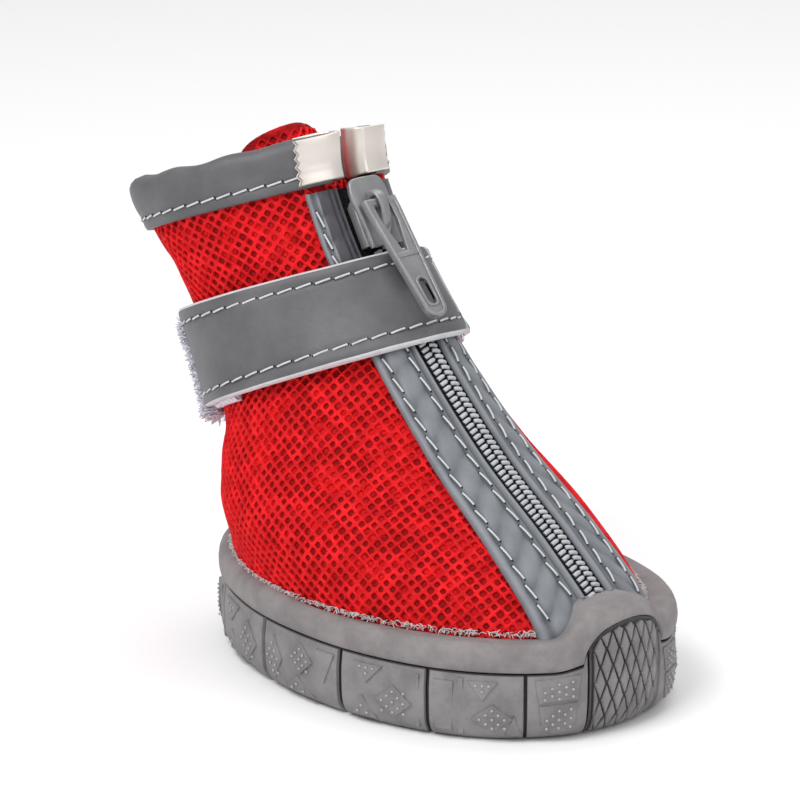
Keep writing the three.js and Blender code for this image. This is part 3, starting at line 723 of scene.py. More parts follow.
def repeated(name, tree, places, values, finish):
    """Sets a tree's small shape on each place and keeps the result as one plain mesh."""
    cloud = bpy.data.meshes.new(name + "_points")
    cloud.from_pydata([tuple(place.point) for place in places], [], [])
    for label in ("along", "out", "size"):
        vectors = np.array([getattr(place, label) for place in places], float)
        layer = cloud.attributes.new(label, "FLOAT_VECTOR", "POINT")
        layer.data.foreach_set("vector", vectors.ravel())
    carrier = added(name + "_carrier", cloud)
    scatter = carrier.modifiers.new("Repeat", "NODES")
    scatter.node_group = bpy.data.node_groups[tree]
    entries = scatter.node_group.interface.items_tree
    labels = {item.name: item.identifier for item in entries if item.in_out == "INPUT"}
    for label, value in {**values, "Material": finish}.items():
        scatter[labels[label]] = value
    mesh = plain_mesh(carrier)
    mesh.name = name
    for label in [layer.name for layer in mesh.attributes if layer.name in ("along", "out", "size")]:
        mesh.attributes.remove(mesh.attributes[label])
    bpy.data.meshes.remove(cloud)
    piece(name, mesh)


def unit(vectors):
    return vectors / np.linalg.norm(vectors, axis=-1, keepdims=True)


def seam_places(surface, side, shares, pitch, slant=0.0, start=0.5, lift=0.1 * MM):
    """Places a pitch apart along a seam of a surface, where surface(share, side, offset) gives points."""

    def seam(share, offset):
        return surface(share, np.full(np.shape(share), side), offset)

    at = mix(shares[0], shares[-1], resampled(seam(shares, lift), pitch, start * pitch))
    step = 1e-3
    here = seam(at, lift)
    along = unit(seam(at + step, lift) - seam(at - step, lift))
    out = unit(seam(at, lift + 1 * MM) - here)
    across = np.cross(out, along)
    along = along * math.cos(slant) + across * math.sin(slant)
    return [Place(p, a, o, (1, 1, 1)) for p, a, o in zip(here, along, out)]


def needle_places(stitches, length):
    """The needle holes at the two ends of each stitch."""
    holes = []
    for stitch in stitches:
        for end in (-0.5, 0.5):
            point = stitch.point + stitch.along * (length * end)
            holes.append(Place(point, stitch.along, stitch.out, (1.3, 0.8, 0.35)))
    return holes


# ---------- Sole ----------

Motif = namedtuple("Motif", "kind across up wide high dots")
# Raised marks on the side blocks: middle and size as shares of the block, and how many dots each holds.
BLOCK_MOTIFS = [
    [
        Motif("tab", 0.5, 0.76, 0.72, 0.36, 12),
        Motif("cup", 0.5, 0.3, 0.62, 0.46, 12),
    ],
    [
        Motif("bar", 0.66, 0.5, 0.05, 0.9, 0),
        Motif("hanging", 0.44, 0.77, 0.3, 0.3, 4),
        Motif("diamond", 0.34, 0.33, 0.42, 0.46, 10),
        Motif("tab", 0.83, 0.5, 0.2, 0.78, 0),
        Motif("standing", 0.12, 0.22, 0.18, 0.36, 0),
    ],
    [
        Motif("diamond", 0.36, 0.42, 0.4, 0.52, 12),
        Motif("hanging", 0.66, 0.78, 0.34, 0.3, 4),
        Motif("standing", 0.72, 0.24, 0.3, 0.36, 3),
        Motif("bar", 0.1, 0.5, 0.04, 0.84, 0),
    ],
    [
        Motif("diamond", 0.45, 0.66, 0.3, 0.5, 10),
        Motif("diamond", 0.82, 0.5, 0.24, 0.72, 10),
        Motif("standing", 0.5, 0.22, 0.4, 0.3, 3),
        Motif("hanging", 0.16, 0.66, 0.22, 0.5, 0),
    ],
    [
        Motif("diamond", 0.28, 0.5, 0.34, 0.66, 10),
        Motif("hanging", 0.66, 0.76, 0.36, 0.32, 4),
        Motif("standing", 0.66, 0.26, 0.36, 0.4, 3),
    ],
    [
        Motif("diamond", 0.5, 0.5, 0.4, 0.66, 12),
        Motif("bar", 0.12, 0.5, 0.05, 0.84, 0),
        Motif("bar", 0.88, 0.5, 0.05, 0.84, 0),
    ],
]
OUTLINES = {
    "diamond": [(0, -0.5), (0.5, 0), (0, 0.5), (-0.5, 0)],
    "hanging": [(-0.5, 0.5), (0, -0.5), (0.5, 0.5)],
    "standing": [(-0.5, -0.5), (0.5, -0.5), (0, 0.5)],
    "bar": [(-0.5, -0.5), (0.5, -0.5), (0.5, 0.5), (-0.5, 0.5)],
    "tab": [(-0.42, -0.5), (0.42, -0.5), (0.5, 0.5), (-0.5, 0.5)],
    "cup": [(-0.2, -0.5), (0.2, -0.5), (0.42, -0.2), (0.48, 0.5), (-0.48, 0.5), (-0.42, -0.2)],
}


def in_mm(*corners):
    """Corners of an outline that are given in millimetres."""
    return [(x * MM, y * MM) for x, y in corners]


def raised_plate(shape, corners, place, height, bevel):
    """A low bevelled plate on a surface. place(across, up, out) gives points; corners are in metres."""
    corners = np.array(corners)
    middle = corners.mean(axis=0)
    toward = unit(middle - corners) * bevel
    rings = [(corners, -0.3 * MM), (corners, height - bevel * 0.7), (corners + toward, height)]
    loops = np.array([[place(*corner, out) for corner in ring] for ring, out in rings])
    shape.tube(loops)


def dots_in(kind, count):
    """Places of the first dots inside a motif, from its middle outwards, as shares of its size."""
    rows = {"hanging": [(-0.22, 0.3), (0, 0.3), (0.22, 0.3), (0, 0)]}
    rows["standing"] = [(-0.18, -0.28), (0.18, -0.28), (0, 0.02)]
    grid = [(x, y) for y in range(-2, 3) for x in range(-2, 3) if (x + y) % 2 == 0]
    grid = [(x * 0.15, y * 0.16) for x, y in sorted(grid, key=lambda spot: spot[0] ** 2 + spot[1] ** 2)]
    return rows.get(kind, grid)[:count]


def sole_stations():
    """Angles round the sole with the depth of the block grooves at each."""
    grooves = [turn for angle in BLOCK_GROOVES for turn in (angle, 2 * math.pi - angle)]
    even = np.linspace(0, 2 * math.pi, 420, endpoint=False)
    arch = np.linspace(-0.3, 0.3, 122) % (2 * math.pi)
    stations = [
        (angle, 0.0)
        for angle in sorted({*even, *arch})
        if min(abs(angle - groove) for groove in grooves) > 0.02
    ]
    for groove in grooves:
        radius = np.linalg.norm(outline(np.array(groove)))
        for step, depth in ((0.55, 0), (0.36, 0.1), (0.26, 0.6), (0.2, 1), (0, 1)):
            for side in {step, -step}:
                stations.append((groove + side * MM / radius, depth * 0.9 * MM))
    return zip(*sorted(stations))


BAND_PROFILE = [  # drop below the rim's top and inset, from the groove up and over
    (4.2, 1.15), (4.05, 0.75), (3.9, 0.3), (3.6, 0.08), (3.0, -0.05), (2.3, -0.1), (1.5, 0.02),
    (0.9, 0.25), (0.45, 0.6), (0.15, 1.05), (0, 1.5), (0.05, 1.9),
]


def sole_skin(wave):
    """The cup of the sole as one closed skin of rings, with the finish of each ring."""
    angles, depths = (np.array(values) for values in sole_stations())
    bumper = turn_from_toe(angles) < BLOCK_GROOVES[0] - 0.01
    rings, finishes = [], []

    def ring(plan, height, finish):
        height = np.broadcast_to(height, angles.shape)
        rings.append(np.concatenate([plan, height[:, None]], axis=-1))
        finishes.append(finish)

    for inset in (SOLE_HALF_WIDTH, 16 * MM, 8 * MM, 3.4 * MM):
        plan = outline(angles, inset) if inset < SOLE_HALF_WIDTH else np.zeros((len(angles), 2))
        ring(plan, TREAD_DEPTH + tread_height(plan[:, 0]), 2)
    plan = outline(angles, 3.0 * MM)
    ring(plan, 0.15 * MM + tread_height(plan[:, 0]) + depths, 2)
    shares = [0, 0.02, 0.05, 0.09, 0.14, 0.2, 0.28, 0.37, 0.46, 0.55, 0.64, 0.73, 0.81, 0.88, 0.94, 0.98, 1]
    for share in shares:
        lowered = np.where(bumper & (share < 0.97), 0.5 * MM, 0)
        points = side_point(angles, share, -depths - lowered)
        ring(points[:, :2], points[:, 2], 2 if share > 0.97 else 0)
    thick = (rim_height(angles) - band_foot(angles)) / RIM_BAND
    for drop, inset in BAND_PROFILE:
        lean = RIM_ARCH_LEAN * rim_arch(angles) * (1 - drop * MM / RIM_BAND) ** 1.5
        ripple = wave * np.sin(angles * 9 + drop) * np.sin(angles * 4.3)
        ring(outline(angles, inset * MM + lean + ripple), rim_height(angles) - drop * MM * thick, 1)
    top = level_at_height(angles, rim_height(angles) - 0.5 * MM)
    for share in np.linspace(1, 0, 7):
        inner = form(mix(LEVEL["seat"], top, share), angles, CUP_GAP)
        ring(inner[:, :2], inner[:, 2] if share > 0 else FLOOR, 2)
    ring(np.zeros((len(angles), 2)), FLOOR, 2)
    finishes = np.repeat(finishes[:-1], len(angles)).reshape(-1, len(angles))
    # Painted shade: the sunk faces, the bumper behind its diamonds and the deep block grooves, take the dark
    # recess rubber, as do the tread, the groove under the band and the inside of the cup.
    sunk = bumper | (depths > 0.5 * MM)
    finishes[:-1][(finishes[:-1] == 0) & sunk & np.roll(sunk, -1)] = 2
    return np.array(rings), finishes.ravel()


def block_place(front, rear, side):
    """The surface of a side block: metres across from its middle towards the heel, and up from the tread."""
    middle = (front + rear) / 2
    radius = np.linalg.norm(outline(np.array(front)) - outline(np.array(rear))) / (rear - front)
    high = side_point(np.array(middle), 0.97)[2] - side_point(np.array(middle), 0.05)[2]

    def place(across, up, out):
        angle = side * (middle + across / radius)
        share = 0.05 + 0.92 * min(max(up / high, 0), 1)
        return side_point(np.array(angle), np.array(share), out)

    return place, radius * (rear - front), high


def side_blocks(shape, dots):
    """Raised marks and dots on the blocks of both sides."""
    for side in (1, -1):
        for number, motifs in enumerate(BLOCK_MOTIFS):
            place, long, high = block_place(BLOCK_GROOVES[number], BLOCK_GROOVES[number + 1], side)
            for motif in motifs:
                middle = np.array([(motif.across - 0.5) * long, motif.up * high])
                size = np.array([motif.wide * long, motif.high * high])
                corners = middle + np.array(OUTLINES[motif.kind]) * size
                raised_plate(shape, corners, place, 0.32 * MM, 0.16 * MM)
                for spot in dots_in(motif.kind, motif.dots):
                    across, up = middle + np.array(spot) * size
                    point = place(across, up, 0.34 * MM)
                    out = unit(place(across, up, 1 * MM) - place(across, up, 0.0))
                    dots.append(Place(point, np.cross(out, (0, 0, 1)), out, (1, 1, 0.7)))


def bumper_diamonds(shape):
    """Long diamonds over the toe bumper, kept inside its edge."""
    wide, high = 2.15 * MM, 4.9 * MM
    radius = np.linalg.norm(outline(np.array(0.12)) - outline(np.array(-0.12))) / 0.24
    edge = (BLOCK_GROOVES[0] - 0.028) * radius

    def place(across, up, out):
        angle = np.array(across / radius)
        top = band_foot(angle) - tread_height(SOLE_HALF_LENGTH)
        return side_point(angle, np.array(min(max(up / top, 0.015), 0.965)), out - 0.5 * MM)

    for column in range(-7, 8):
        for row in range(-1, 8):
            if (column + row) % 2:
                continue
            middle = np.array([column * wide / 2, row * high / 2])
            top = band_foot(np.clip(middle[0], -edge, edge) / radius) - 0.8 * MM
            if abs(middle[0]) > edge + wide * 0.2 or middle[1] > top + high * 0.25:
                continue
            corners = []
            for across, up in [(0, -0.44), (0.4, 0), (0, 0.44), (-0.4, 0)]:
                spot = middle + np.array([across * wide, up * high])
                spot[0] = np.clip(spot[0], -edge, edge)
                local = band_foot(spot[0] / radius) - 0.75 * MM
                spot[1] = np.clip(spot[1], 0.1 * MM, local)
                corners.append(spot)
            size = np.ptp(corners, axis=0)
            if min(size) > 0.5 * MM:
                raised_plate(shape, corners, place, 0.6 * MM, 0.28 * MM)


def tread_lugs(shape, dots):
    """Lugs under the sole: radial blocks, hexagons, bars at both ends and slanted diamond strips along both
    sides.
    """

    def place(across, up, out):
        return np.array([across, up, TREAD_DEPTH + tread_height(across) - out])

    def lug(corners, bevel=0.3 * MM):
        raised_plate(shape, corners, place, TREAD_DEPTH - 0.02 * MM, bevel)

    bounds = [0.0, *BLOCK_GROOVES, math.pi]
    for side in (1, -1):
        for front, rear in zip(bounds, bounds[1:]):
            turns = np.linspace(front + 0.03, rear - 0.03, 5) * side
            outer = outline(turns, 3.7 * MM)
            inner = outer * [0.8, 0.66]
            lug([*outer, *inner[::-1]])
            for share in (0.3, 0.7):
                spot = mix(outer[2], inner[2], share)
                point = np.array([*spot, tread_height(spot[0]) + 0.065 * MM])
                dots.append(Place(point, (1, 0, 0), (0, 0, -1), (1, 1, 0.3)))
    turns = np.arange(6) * math.pi / 3
    for x in (-9, -3, 3, 9):
        lug([(x * MM + 2.6 * MM * math.cos(t), 2.6 * MM * math.sin(t)) for t in turns])
    for x in (-26, -20, 16, 22, 27):
        for side in (1, -1):
            near, far = side * 0.5, side * (5.5 + 0.12 * abs(x))
            lug(in_mm((x - 2.3, near), (x + 2.3, near), (x + 2.3, far), (x - 2.3, far)))
    for x in np.arange(-12, 13, 3):
        for side in (1, -1):
            near, far = side * 4.2, side * 8.4
            lug(in_mm((x, near), (x + 1.6, near), (x + 3.2, far), (x + 1.6, far)), 0.25 * MM)


def build_sole(sizes, finishes):
    rings, ring_finishes = sole_skin(sizes.rim_wave)
    skin = Shape()
    skin.sheet(rings)
    skin.finishes = ring_finishes.tolist()
    looks = [finishes["rubber"], finishes["rim"], finishes["recess"]]
    piece("sole_cup", mesh_of("sole_cup", skin, looks, sharp=50), ["outsole"])
    marks, dots = Shape(), []
    side_blocks(marks, dots)
    bumper_diamonds(marks)
    tread_lugs(marks, dots)
    piece("sole_marks", mesh_of("sole_marks", marks, [finishes["rubber"]], sharp=25))
    repeated("sole_dots", "Grains", dots, {"Radius": sizes.dot_radius}, finishes["dust"])


def build_insole(sizes, finishes):
    angles = np.linspace(0, 2 * math.pi, 160, endpoint=False)
    edge = form(LEVEL["seat"], angles, -(WALL + GAP))[:, :2]
    rings = []
    for inset, height in ((1, 0), (0, 0), (0, 1.5), (0.3, 1.9), (0.9, 2.0), (4, 2.05), (12, 1.9)):
        share = 1 - inset * MM / np.linalg.norm(edge, axis=1)[:, None]
        height = np.full((len(angles), 1), FLOOR + GAP + height * MM)
        rings.append(np.concatenate([edge * share, height], axis=1))
    for height in (2.0, 0):
        middle = [(0, 0, FLOOR + GAP + height * MM)] * len(angles)
        rings.insert(0 if height == 0 else len(rings), np.array(middle))
    board = Shape()
    board.sheet(np.array(rings))
    piece("insole_board", mesh_of("insole_board", board, [finishes["board"]]), ["insole"])


# ---------- Upper and tongue ----------


def flattened(points, faces, rows, columns):
    """Flat coordinates of a patch of cloth, in metres, as if it were cut out and laid down."""
    mesh = bpy.data.meshes.new("pattern")
    mesh.from_pydata(points.tolist(), [], faces)
    pattern = added("pattern", mesh)
    bpy.context.view_layer.objects.active = pattern
    pattern.select_set(True)
    mesh.uv_layers.new(name="flat")
    bpy.ops.object.mode_set(mode="EDIT")
    bpy.ops.mesh.select_all(action="SELECT")
    bpy.ops.uv.unwrap(method="MINIMUM_STRETCH", margin=0.0)
    bpy.ops.object.mode_set(mode="OBJECT")
    flat = np.zeros((len(points), 2))
    corners = np.zeros(len(mesh.loops), int)
    mesh.loops.foreach_get("vertex_index", corners)
    layer = np.zeros(len(mesh.loops) * 2)
    mesh.uv_layers["flat"].uv.foreach_get("vector", layer)
    flat[corners] = layer.reshape(-1, 2)
    bpy.data.objects.remove(pattern)
    bpy.data.meshes.remove(mesh)
    grid, plan = points.reshape(rows, columns, 3), flat.reshape(rows, columns, 2)
    real = np.linalg.norm(np.diff(grid, axis=1), axis=-1).sum()
    plan = plan * (real / np.linalg.norm(np.diff(plan, axis=1), axis=-1).sum())
    spine = plan[rows // 2, -1] - plan[rows // 2, 0]
    turn = math.pi / 2 - math.atan2(spine[1], spine[0])
    spin = np.array([[math.cos(turn), math.sin(turn)], [-math.sin(turn), math.cos(turn)]])
    return (plan @ spin).reshape(-1, 2)


def knit_net(name, first, second, place, shown, sizes, finish):
    """A knitted net over a patch. first and second are the patch's own coordinates on a grid."""
    rows, columns = first.shape
    base = place(first, second, 0.0).reshape(-1, 3)
    faces = grid_faces(rows, columns)
    flat = flattened(base, faces, rows, columns)
    lookup = BVHTree.FromPolygons([(x, y, 0) for x, y in flat], faces)
    given = np.stack([first.ravel(), second.ravel()], axis=1)

    def coordinates(spot):
        """The patch's coordinates under a flat spot, or None off the cloth."""
        _, _, index, _ = lookup.ray_cast(Vector((*spot, 1)), Vector((0, 0, -1)))
        if index is None:
            return None
        a, b, _, d = faces[index]
        across, up = flat[b] - flat[a], flat[d] - flat[a]
        share = np.linalg.solve(np.array([across, up]).T, spot - flat[a])
        return given[a] + (given[b] - given[a]) * share[0] + (given[d] - given[a]) * share[1]

    pitch = sizes.net_pitch
    turn = np.array([[1, 1], [-1, 1]]) * (pitch / math.sqrt(2))
    reach = flat @ np.linalg.inv(turn)
    low, high = np.floor(reach.min(axis=0)).astype(int), np.ceil(reach.max(axis=0)).astype(int)
    around = [(-1, -1), (0, -1), (1, -1), (1, 0), (1, 1), (0, 1), (-1, 1), (-1, 0)]
    angles = np.array([math.atan2(y, x) for x, y in around])
    hole = np.stack([np.cos(angles), np.sin(angles)], axis=1) * np.where(np.arange(8) % 2, 0.94, 1.1)[:, None]
    uneven = random.Random(7)
    knots, spots, cells, holes = {}, [], [], []

    def knot(column, row):
        """One shared point of the net's threads, at half steps of the lattice."""
        key = (column, row)
        if key not in knots:
            found = coordinates(np.array([column, row]) / 2 @ turn)
            knots[key] = None if found is None else len(spots)
            if found is not None:
                spots.append(found)
        return knots[key]

    for row in range(low[1], high[1] + 1):
        for column in range(low[0], high[0] + 1):
            size = sizes.net_hole * uneven.uniform(0.8, 1.1)
            middle = np.array([column, row]) + np.array([uneven.uniform(-0.06, 0.06) for _ in range(2)])
            centre = coordinates(middle @ turn)
            if centre is None or not shown(*centre):
                continue
            ring = [knot(2 * column + x, 2 * row + y) for x, y in around]
            inner = [coordinates((middle + step * size / 2) @ turn) for step in hole]
            if any(point is None for point in ring + inner):
                continue
            cells.append(ring)
            holes.append(inner)
    spots, holes = np.array(spots), np.array(holes).reshape(-1, 2)
    crest, brink, under = 0.26 * MM, 0.12 * MM, -0.22 * MM
    layers = [place(*spots.T, crest), place(*holes.T, brink), place(*holes.T, under), place(*spots.T, under)]
    starts = np.cumsum([0] + [len(layer) for layer in layers])
    net, quads, edges = Shape(), [], {}
    for number, ring in enumerate(cells):
        for i in range(8):
            k = (i + 1) % 8
            a, b = ring[i], ring[k]
            c, d = number * 8 + i, number * 8 + k
            quads.append((a, b, starts[1] + d, starts[1] + c))
            quads.append((starts[1] + c, starts[1] + d, starts[2] + d, starts[2] + c))
            quads.append((starts[2] + c, starts[2] + d, starts[3] + b, starts[3] + a))
            edges[(a, b)] = (a, starts[3] + a, starts[3] + b, b)
    quads += [edge for (a, b), edge in edges.items() if (b, a) not in edges]
    net.add(np.concatenate(layers), quads)
    return mesh_of(name, net, [finish], sharp=60)


def upper_shown(level, angle):
    """Where the cloth isn't under the strap or inside the sole."""
    height = last_point(level, angle)[2]
    under_strap = LEVEL["strap_low"] + 0.14 < level < LEVEL["strap_high"] - 0.12
    return height > rim_height(angle) - 1.2 * MM and not under_strap


def build_upper(sizes, finishes):
    levels = np.linspace(LEVEL["seat"], UPPER_TOP, 96)
    shares = np.linspace(0, 1, 190)
    shares = shares - 0.035 * np.sin(4 * math.pi * shares)
    level, share = np.meshgrid(levels, shares)
    angle = angle_round(level, share, UPPER_EDGE)
    shell = Shape()
    shell.slab(cloth(level, angle, -0.2 * MM), cloth(level, angle, -WALL))
    size = 2 * len(levels)
    looks = [0 if j < len(levels) - 1 else 1 for j in range(size)] * (len(shares) - 1)
    shell.finishes = looks + [1] * (len(shell.faces) - len(looks))
    mesh = mesh_of("upper_shell", shell, [finishes["ground"], finishes["lining"]])
    piece("upper_shell", mesh, ["upper"])

    levels = np.linspace(LEVEL["rim"] - 0.3, LEVEL["collar_low"] + 0.25, 60)
    shares = np.linspace(0, 1, 121)
    level, share = np.meshgrid(levels, shares)
    angle = angle_round(level, share, NET_EDGE)
    net = knit_net("upper_net", level, angle, cloth, upper_shown, sizes, finishes["knit"])
    piece("upper_net", net)


TONGUE_OUTER = -(WALL + BINDING + CLIP + 5 * GAP)
TONGUE_LEAN = 7 * MM
TONGUE_HALF = 11.5 * MM
TONGUE_LOW = LEVEL["rim"] + 0.3
TONGUE_SHOULDER = LEVEL["collar_top"] - 0.5
TONGUE_TOP = LEVEL["collar_top"]
TONGUE_LEAN_START = LEVEL["strap_high"] + 0.5


def tongue_point(across, share, offset):
    """A point of the tongue: across from -1 to 1, share from its foot to its rounded top."""
    level = mix(TONGUE_LOW, TONGUE_TOP, share)
    lift = np.clip((level - TONGUE_SHOULDER) / (TONGUE_TOP - TONGUE_SHOULDER), 0, 1)
    foot = smooth(TONGUE_LOW - 0.6, TONGUE_LOW + 1.2, level)
    half = TONGUE_HALF * foot * np.sqrt(1 - 0.85 * lift * lift)
    point = beside(level, across * half, TONGUE_OUTER + offset)
    point[..., 0] -= TONGUE_LEAN * smooth(TONGUE_LEAN_START, TONGUE_TOP, level)
    return point


def build_tongue(sizes, finishes):
    across, share = np.meshgrid(np.linspace(-1, 1, 48), np.linspace(0, 1, 120), indexing="ij")
    rounded = np.sqrt(np.clip(1 - np.clip((share - 0.97) / 0.03, 0, 1) ** 2, 0, 1))
    sheet = Shape()
    middle = -TONGUE / 2
    outer = tongue_point(across, share, middle + (TONGUE / 2 - 0.2 * MM) * rounded)
    inner = tongue_point(across, share, middle - TONGUE / 2 * rounded)
    sheet.slab(outer, inner - [0, 0, 0.01 * MM])
    piece("tongue_cloth", mesh_of("tongue_cloth", sheet, [finishes["ground"]]), ["tongue"])
    across, share = np.meshgrid(np.linspace(-1, 1, 40), np.linspace(0.62, 0.995, 40), indexing="ij")
    net = knit_net("tongue_net", across, share, tongue_point, lambda *_: True, sizes, finishes["knit"])
    piece("tongue_net", net)


# ---------- Collar ----------


def build_binding(sizes, finishes):
    low, top = float(LEVEL["collar_low"]), float(LEVEL["collar_top"])
    out, inner = GAP + BINDING, -WALL - GAP - BINDING
    hem = UPPER_TOP + 0.06
    section = [  # level and offset, from the lower edge outside, over the fold, to the hem inside
        (low, GAP), (low - 0.01, GAP + 0.5 * BINDING), (low + 0.01, out), (low + 0.07, out + 0.1 * MM),
        (low + 0.14, out + 0.05 * MM), (low + COLLAR_SEAM, out - 0.12 * MM), (low + 0.25, out + 0.02 * MM),
        (low + 0.4, out + 0.16 * MM), (low + 0.6, out + 0.14 * MM), (low + 0.78, out),
        (low + 0.9, out - 0.25 * MM), (low + 0.965, out - 0.7 * MM), (top, out - 1.3 * MM),
        (top, inner + 1.3 * MM), (top - 0.04, inner + 0.6 * MM), (top - 0.12, inner + 0.15 * MM),
        (low + 0.6, inner), (low + 0.1, inner), (low + 0.1, inner + BINDING), (hem, inner + BINDING),
        (hem, GAP),
    ]
    level, offset = (np.array(values) for values in zip(*section))
    shares = np.linspace(0, 1, 260)
    share, level = np.meshgrid(shares, level, indexing="ij")
    offset = np.broadcast_to(offset, share.shape)
    height = np.clip((level - low - 0.3) / 0.7, 0, 1)
    ruffle = np.sin(share * 47 + 0.8) * np.sin(share * 21) + 0.5 * np.sin(share * 83)
    level = level + sizes.collar_wave * height**2 * ruffle
    offset = offset + 0.14 * MM * np.sin(share * 39) * height
    strip = Shape()
    strip.tube(form(level, angle_round(level, share, COLLAR_CLEAR), offset))
    mesh = mesh_of("collar_strip", strip, [finishes["coated"]], sharp=70)
    piece("collar_strip", mesh, ["collar_binding"])

    def surface(share, level, lift):
        return form(level, angle_round(level, share, COLLAR_CLEAR), out - 0.06 * MM + lift)

    return seam_places(surface, low + COLLAR_SEAM, np.linspace(0.03, 0.97, 300), COLLAR_PITCH, 0.12)


def clip_section(reach, teeth):
    """The folded plate in section: side distance and offset, closed by an arc towards the zip."""
    out, inner = 3 * GAP + BINDING, -WALL - 3 * GAP - BINDING
    middle, half = (out + inner) / 2, (out - inner) / 2
    turns = np.linspace(math.pi / 2, 3 * math.pi / 2, 17)
    centre = COLLAR_GAP + CLIP_DEPTH
    ends = np.array([centre + 1.5 * MM, reach - 0.3 * MM, reach])

    def face(grow):
        """One face of the plate: along the outside, round the fold and back along the inside."""
        side = centre + (CLIP_DEPTH - CLIP + grow) * np.cos(turns)
        offset = middle + (CLIP_TIP + grow) * np.sin(turns)
        over, under = np.full(3, middle + half + grow), np.full(3, middle - half - grow)
        return np.stack([[*ends[::-1], *side, *ends], [*over, *offset, *under]], axis=1)

    outer, inside = face(CLIP), face(0.0)
    for row in (outer, inside):
        row[[0, -1], 0] += teeth
        row[[1, -2], 0] += teeth
    outer[[0, -1], 1] = mix(outer[[0, -1], 1], inside[[0, -1], 1], 1.6)
    inside[[0, -1], 1] = mix(inside[[0, -1], 1], outer[[0, -1], 1], 0.6)
    return outer, inside


def build_clips(sizes, finishes):
    levels = np.linspace(LEVEL["collar_low"] + 0.03, LEVEL["collar_top"] + 0.02, 61)
    for name, side, long in (("right", -1, 6 * MM), ("left", 1, 4.4 * MM)):
        outers, inners = [], []
        for number, level in enumerate(levels):
            edge = min(number, len(levels) - 1 - number)
            bite = 0.35 * MM * abs(((number * CLIP_TEETH / 60) % 1) - 0.5) * 2
            outer, inside = clip_section(COLLAR_GAP + long, bite)
            soft = min(0.22 * MM * max(0, 1 - edge / 1.5) ** 2, CLIP * 0.4)
            centre = (outer + inside) / 2
            outer, inside = (row + unit(centre - row + 1e-12) * soft for row in (outer, inside))
            outers.append(beside(np.full(len(outer), level), side * outer[:, 0], outer[:, 1]))
            inners.append(beside(np.full(len(inside), level), side * inside[:, 0], inside[:, 1]))
        plate = Shape()
        plate.slab(np.array(outers), np.array(inners))
        mesh = mesh_of("clip_plate_" + name, plate, [finishes["nickel"]], sharp=50)
        piece("clip_plate_" + name, mesh, ["collar_clip_" + name])


# ---------- Zip ----------

TAPE_REACH = (1.3 * MM, 4.2 * MM)  # from the centre plane
ZIP_BED_HALF = 2.6 * MM
COIL_SIDE = 0.86 * MM
COIL_LIFT = 0.45 * MM


def facing_point(side, across, share, offset):
    """A point of the strip beside the zip: across from its inner to its outer edge."""
    inner = mix(FACING_ROLL, FACING_INNER, smooth(0.62, 0.74, share))
    outer = mix(FACING_TOE, FACING_OUTER, smooth(0, FACING_WIDENS, share))
    return along_zip(side * mix(inner, outer, across), share, offset)


def facing_relief(across, share, wave):
    """How the strip swells between its seams, dips at them and rolls over at its edges."""
    rows = sum(ridge(across, row, 0.05) for row in FACING_ROWS)
    slit = ridge(across, 0.14, 0.025)
    swell = np.sin(math.pi * np.clip((across - 0.28) / 0.49, 0, 1)) ** 2
    roll = ridge(across, 0.92, 0.06) + ridge(across, 0.06, 0.05)
    near = ridge(across, 0.68, 0.16) + 0.8 * ridge(across, 0.36, 0.12)
    lean = np.where(across > FACING_MIDDLE, 0.9, -0.5) + 0.5 * np.sin(share * 31)
    pucker = (2 * np.abs(np.sin(share * 50.5 + lean * (across - FACING_MIDDLE))) - 1) * near
    return wave * (0.5 * swell + 1.2 * roll - 1.3 * rows - 2.2 * slit + 0.8 * pucker)


def build_facings(sizes, finishes):
    seams = []
    for name, side in (("right", -1), ("left", 1)):
        share, across = np.meshgrid(np.linspace(0, 1, 300), np.linspace(0, 1, 40), indexing="ij")
        relief = facing_relief(across, share, sizes.pucker)
        edge = np.minimum(across, 1 - across)
        thin = FACING * 0.45 * (1 - np.sqrt(np.clip(edge / 0.06, 0, 1)))
        upper = facing_point(side, across, share, GAP + FACING * 0.8 + relief - thin)
        lower = facing_point(side, across, share, GAP * 0.9 + thin * 0.3)
        strip = Shape()
        strip.slab(upper, lower)
        mesh = mesh_of("facing_" + name, strip, [finishes["facing"]], sharp=70)
        # Painted light: fold paints a highlight on the swells of the relief and shade in its dips, shaft
        # paints shade on the inner part of the upper end.
        fold = np.clip(0.42 + relief / (2.4 * sizes.pucker), 0, 1)
        shaft = smooth(0.7, 0.76, share) * (across < 0.66)
        for label, values in (("fold", fold), ("shaft", shaft)):
            layer = mesh.attributes.new(label, "FLOAT", "POINT")
            layer.data.foreach_set("value", np.concatenate([values, values[:, ::-1]], axis=1).ravel())
        piece("facing_" + name, mesh, ["zip_facing_" + name])

        def surface(share, across, lift, side=side):
            return facing_point(side, across, share, GAP + FACING * 0.72 + lift)

        for row, top in zip(FACING_ROWS, (0.74, 0.98)):
            shares = np.linspace(0.03, top, 300)
            seams += seam_places(surface, row, shares, FACING_PITCH, -0.16 * side, row)
    return seams


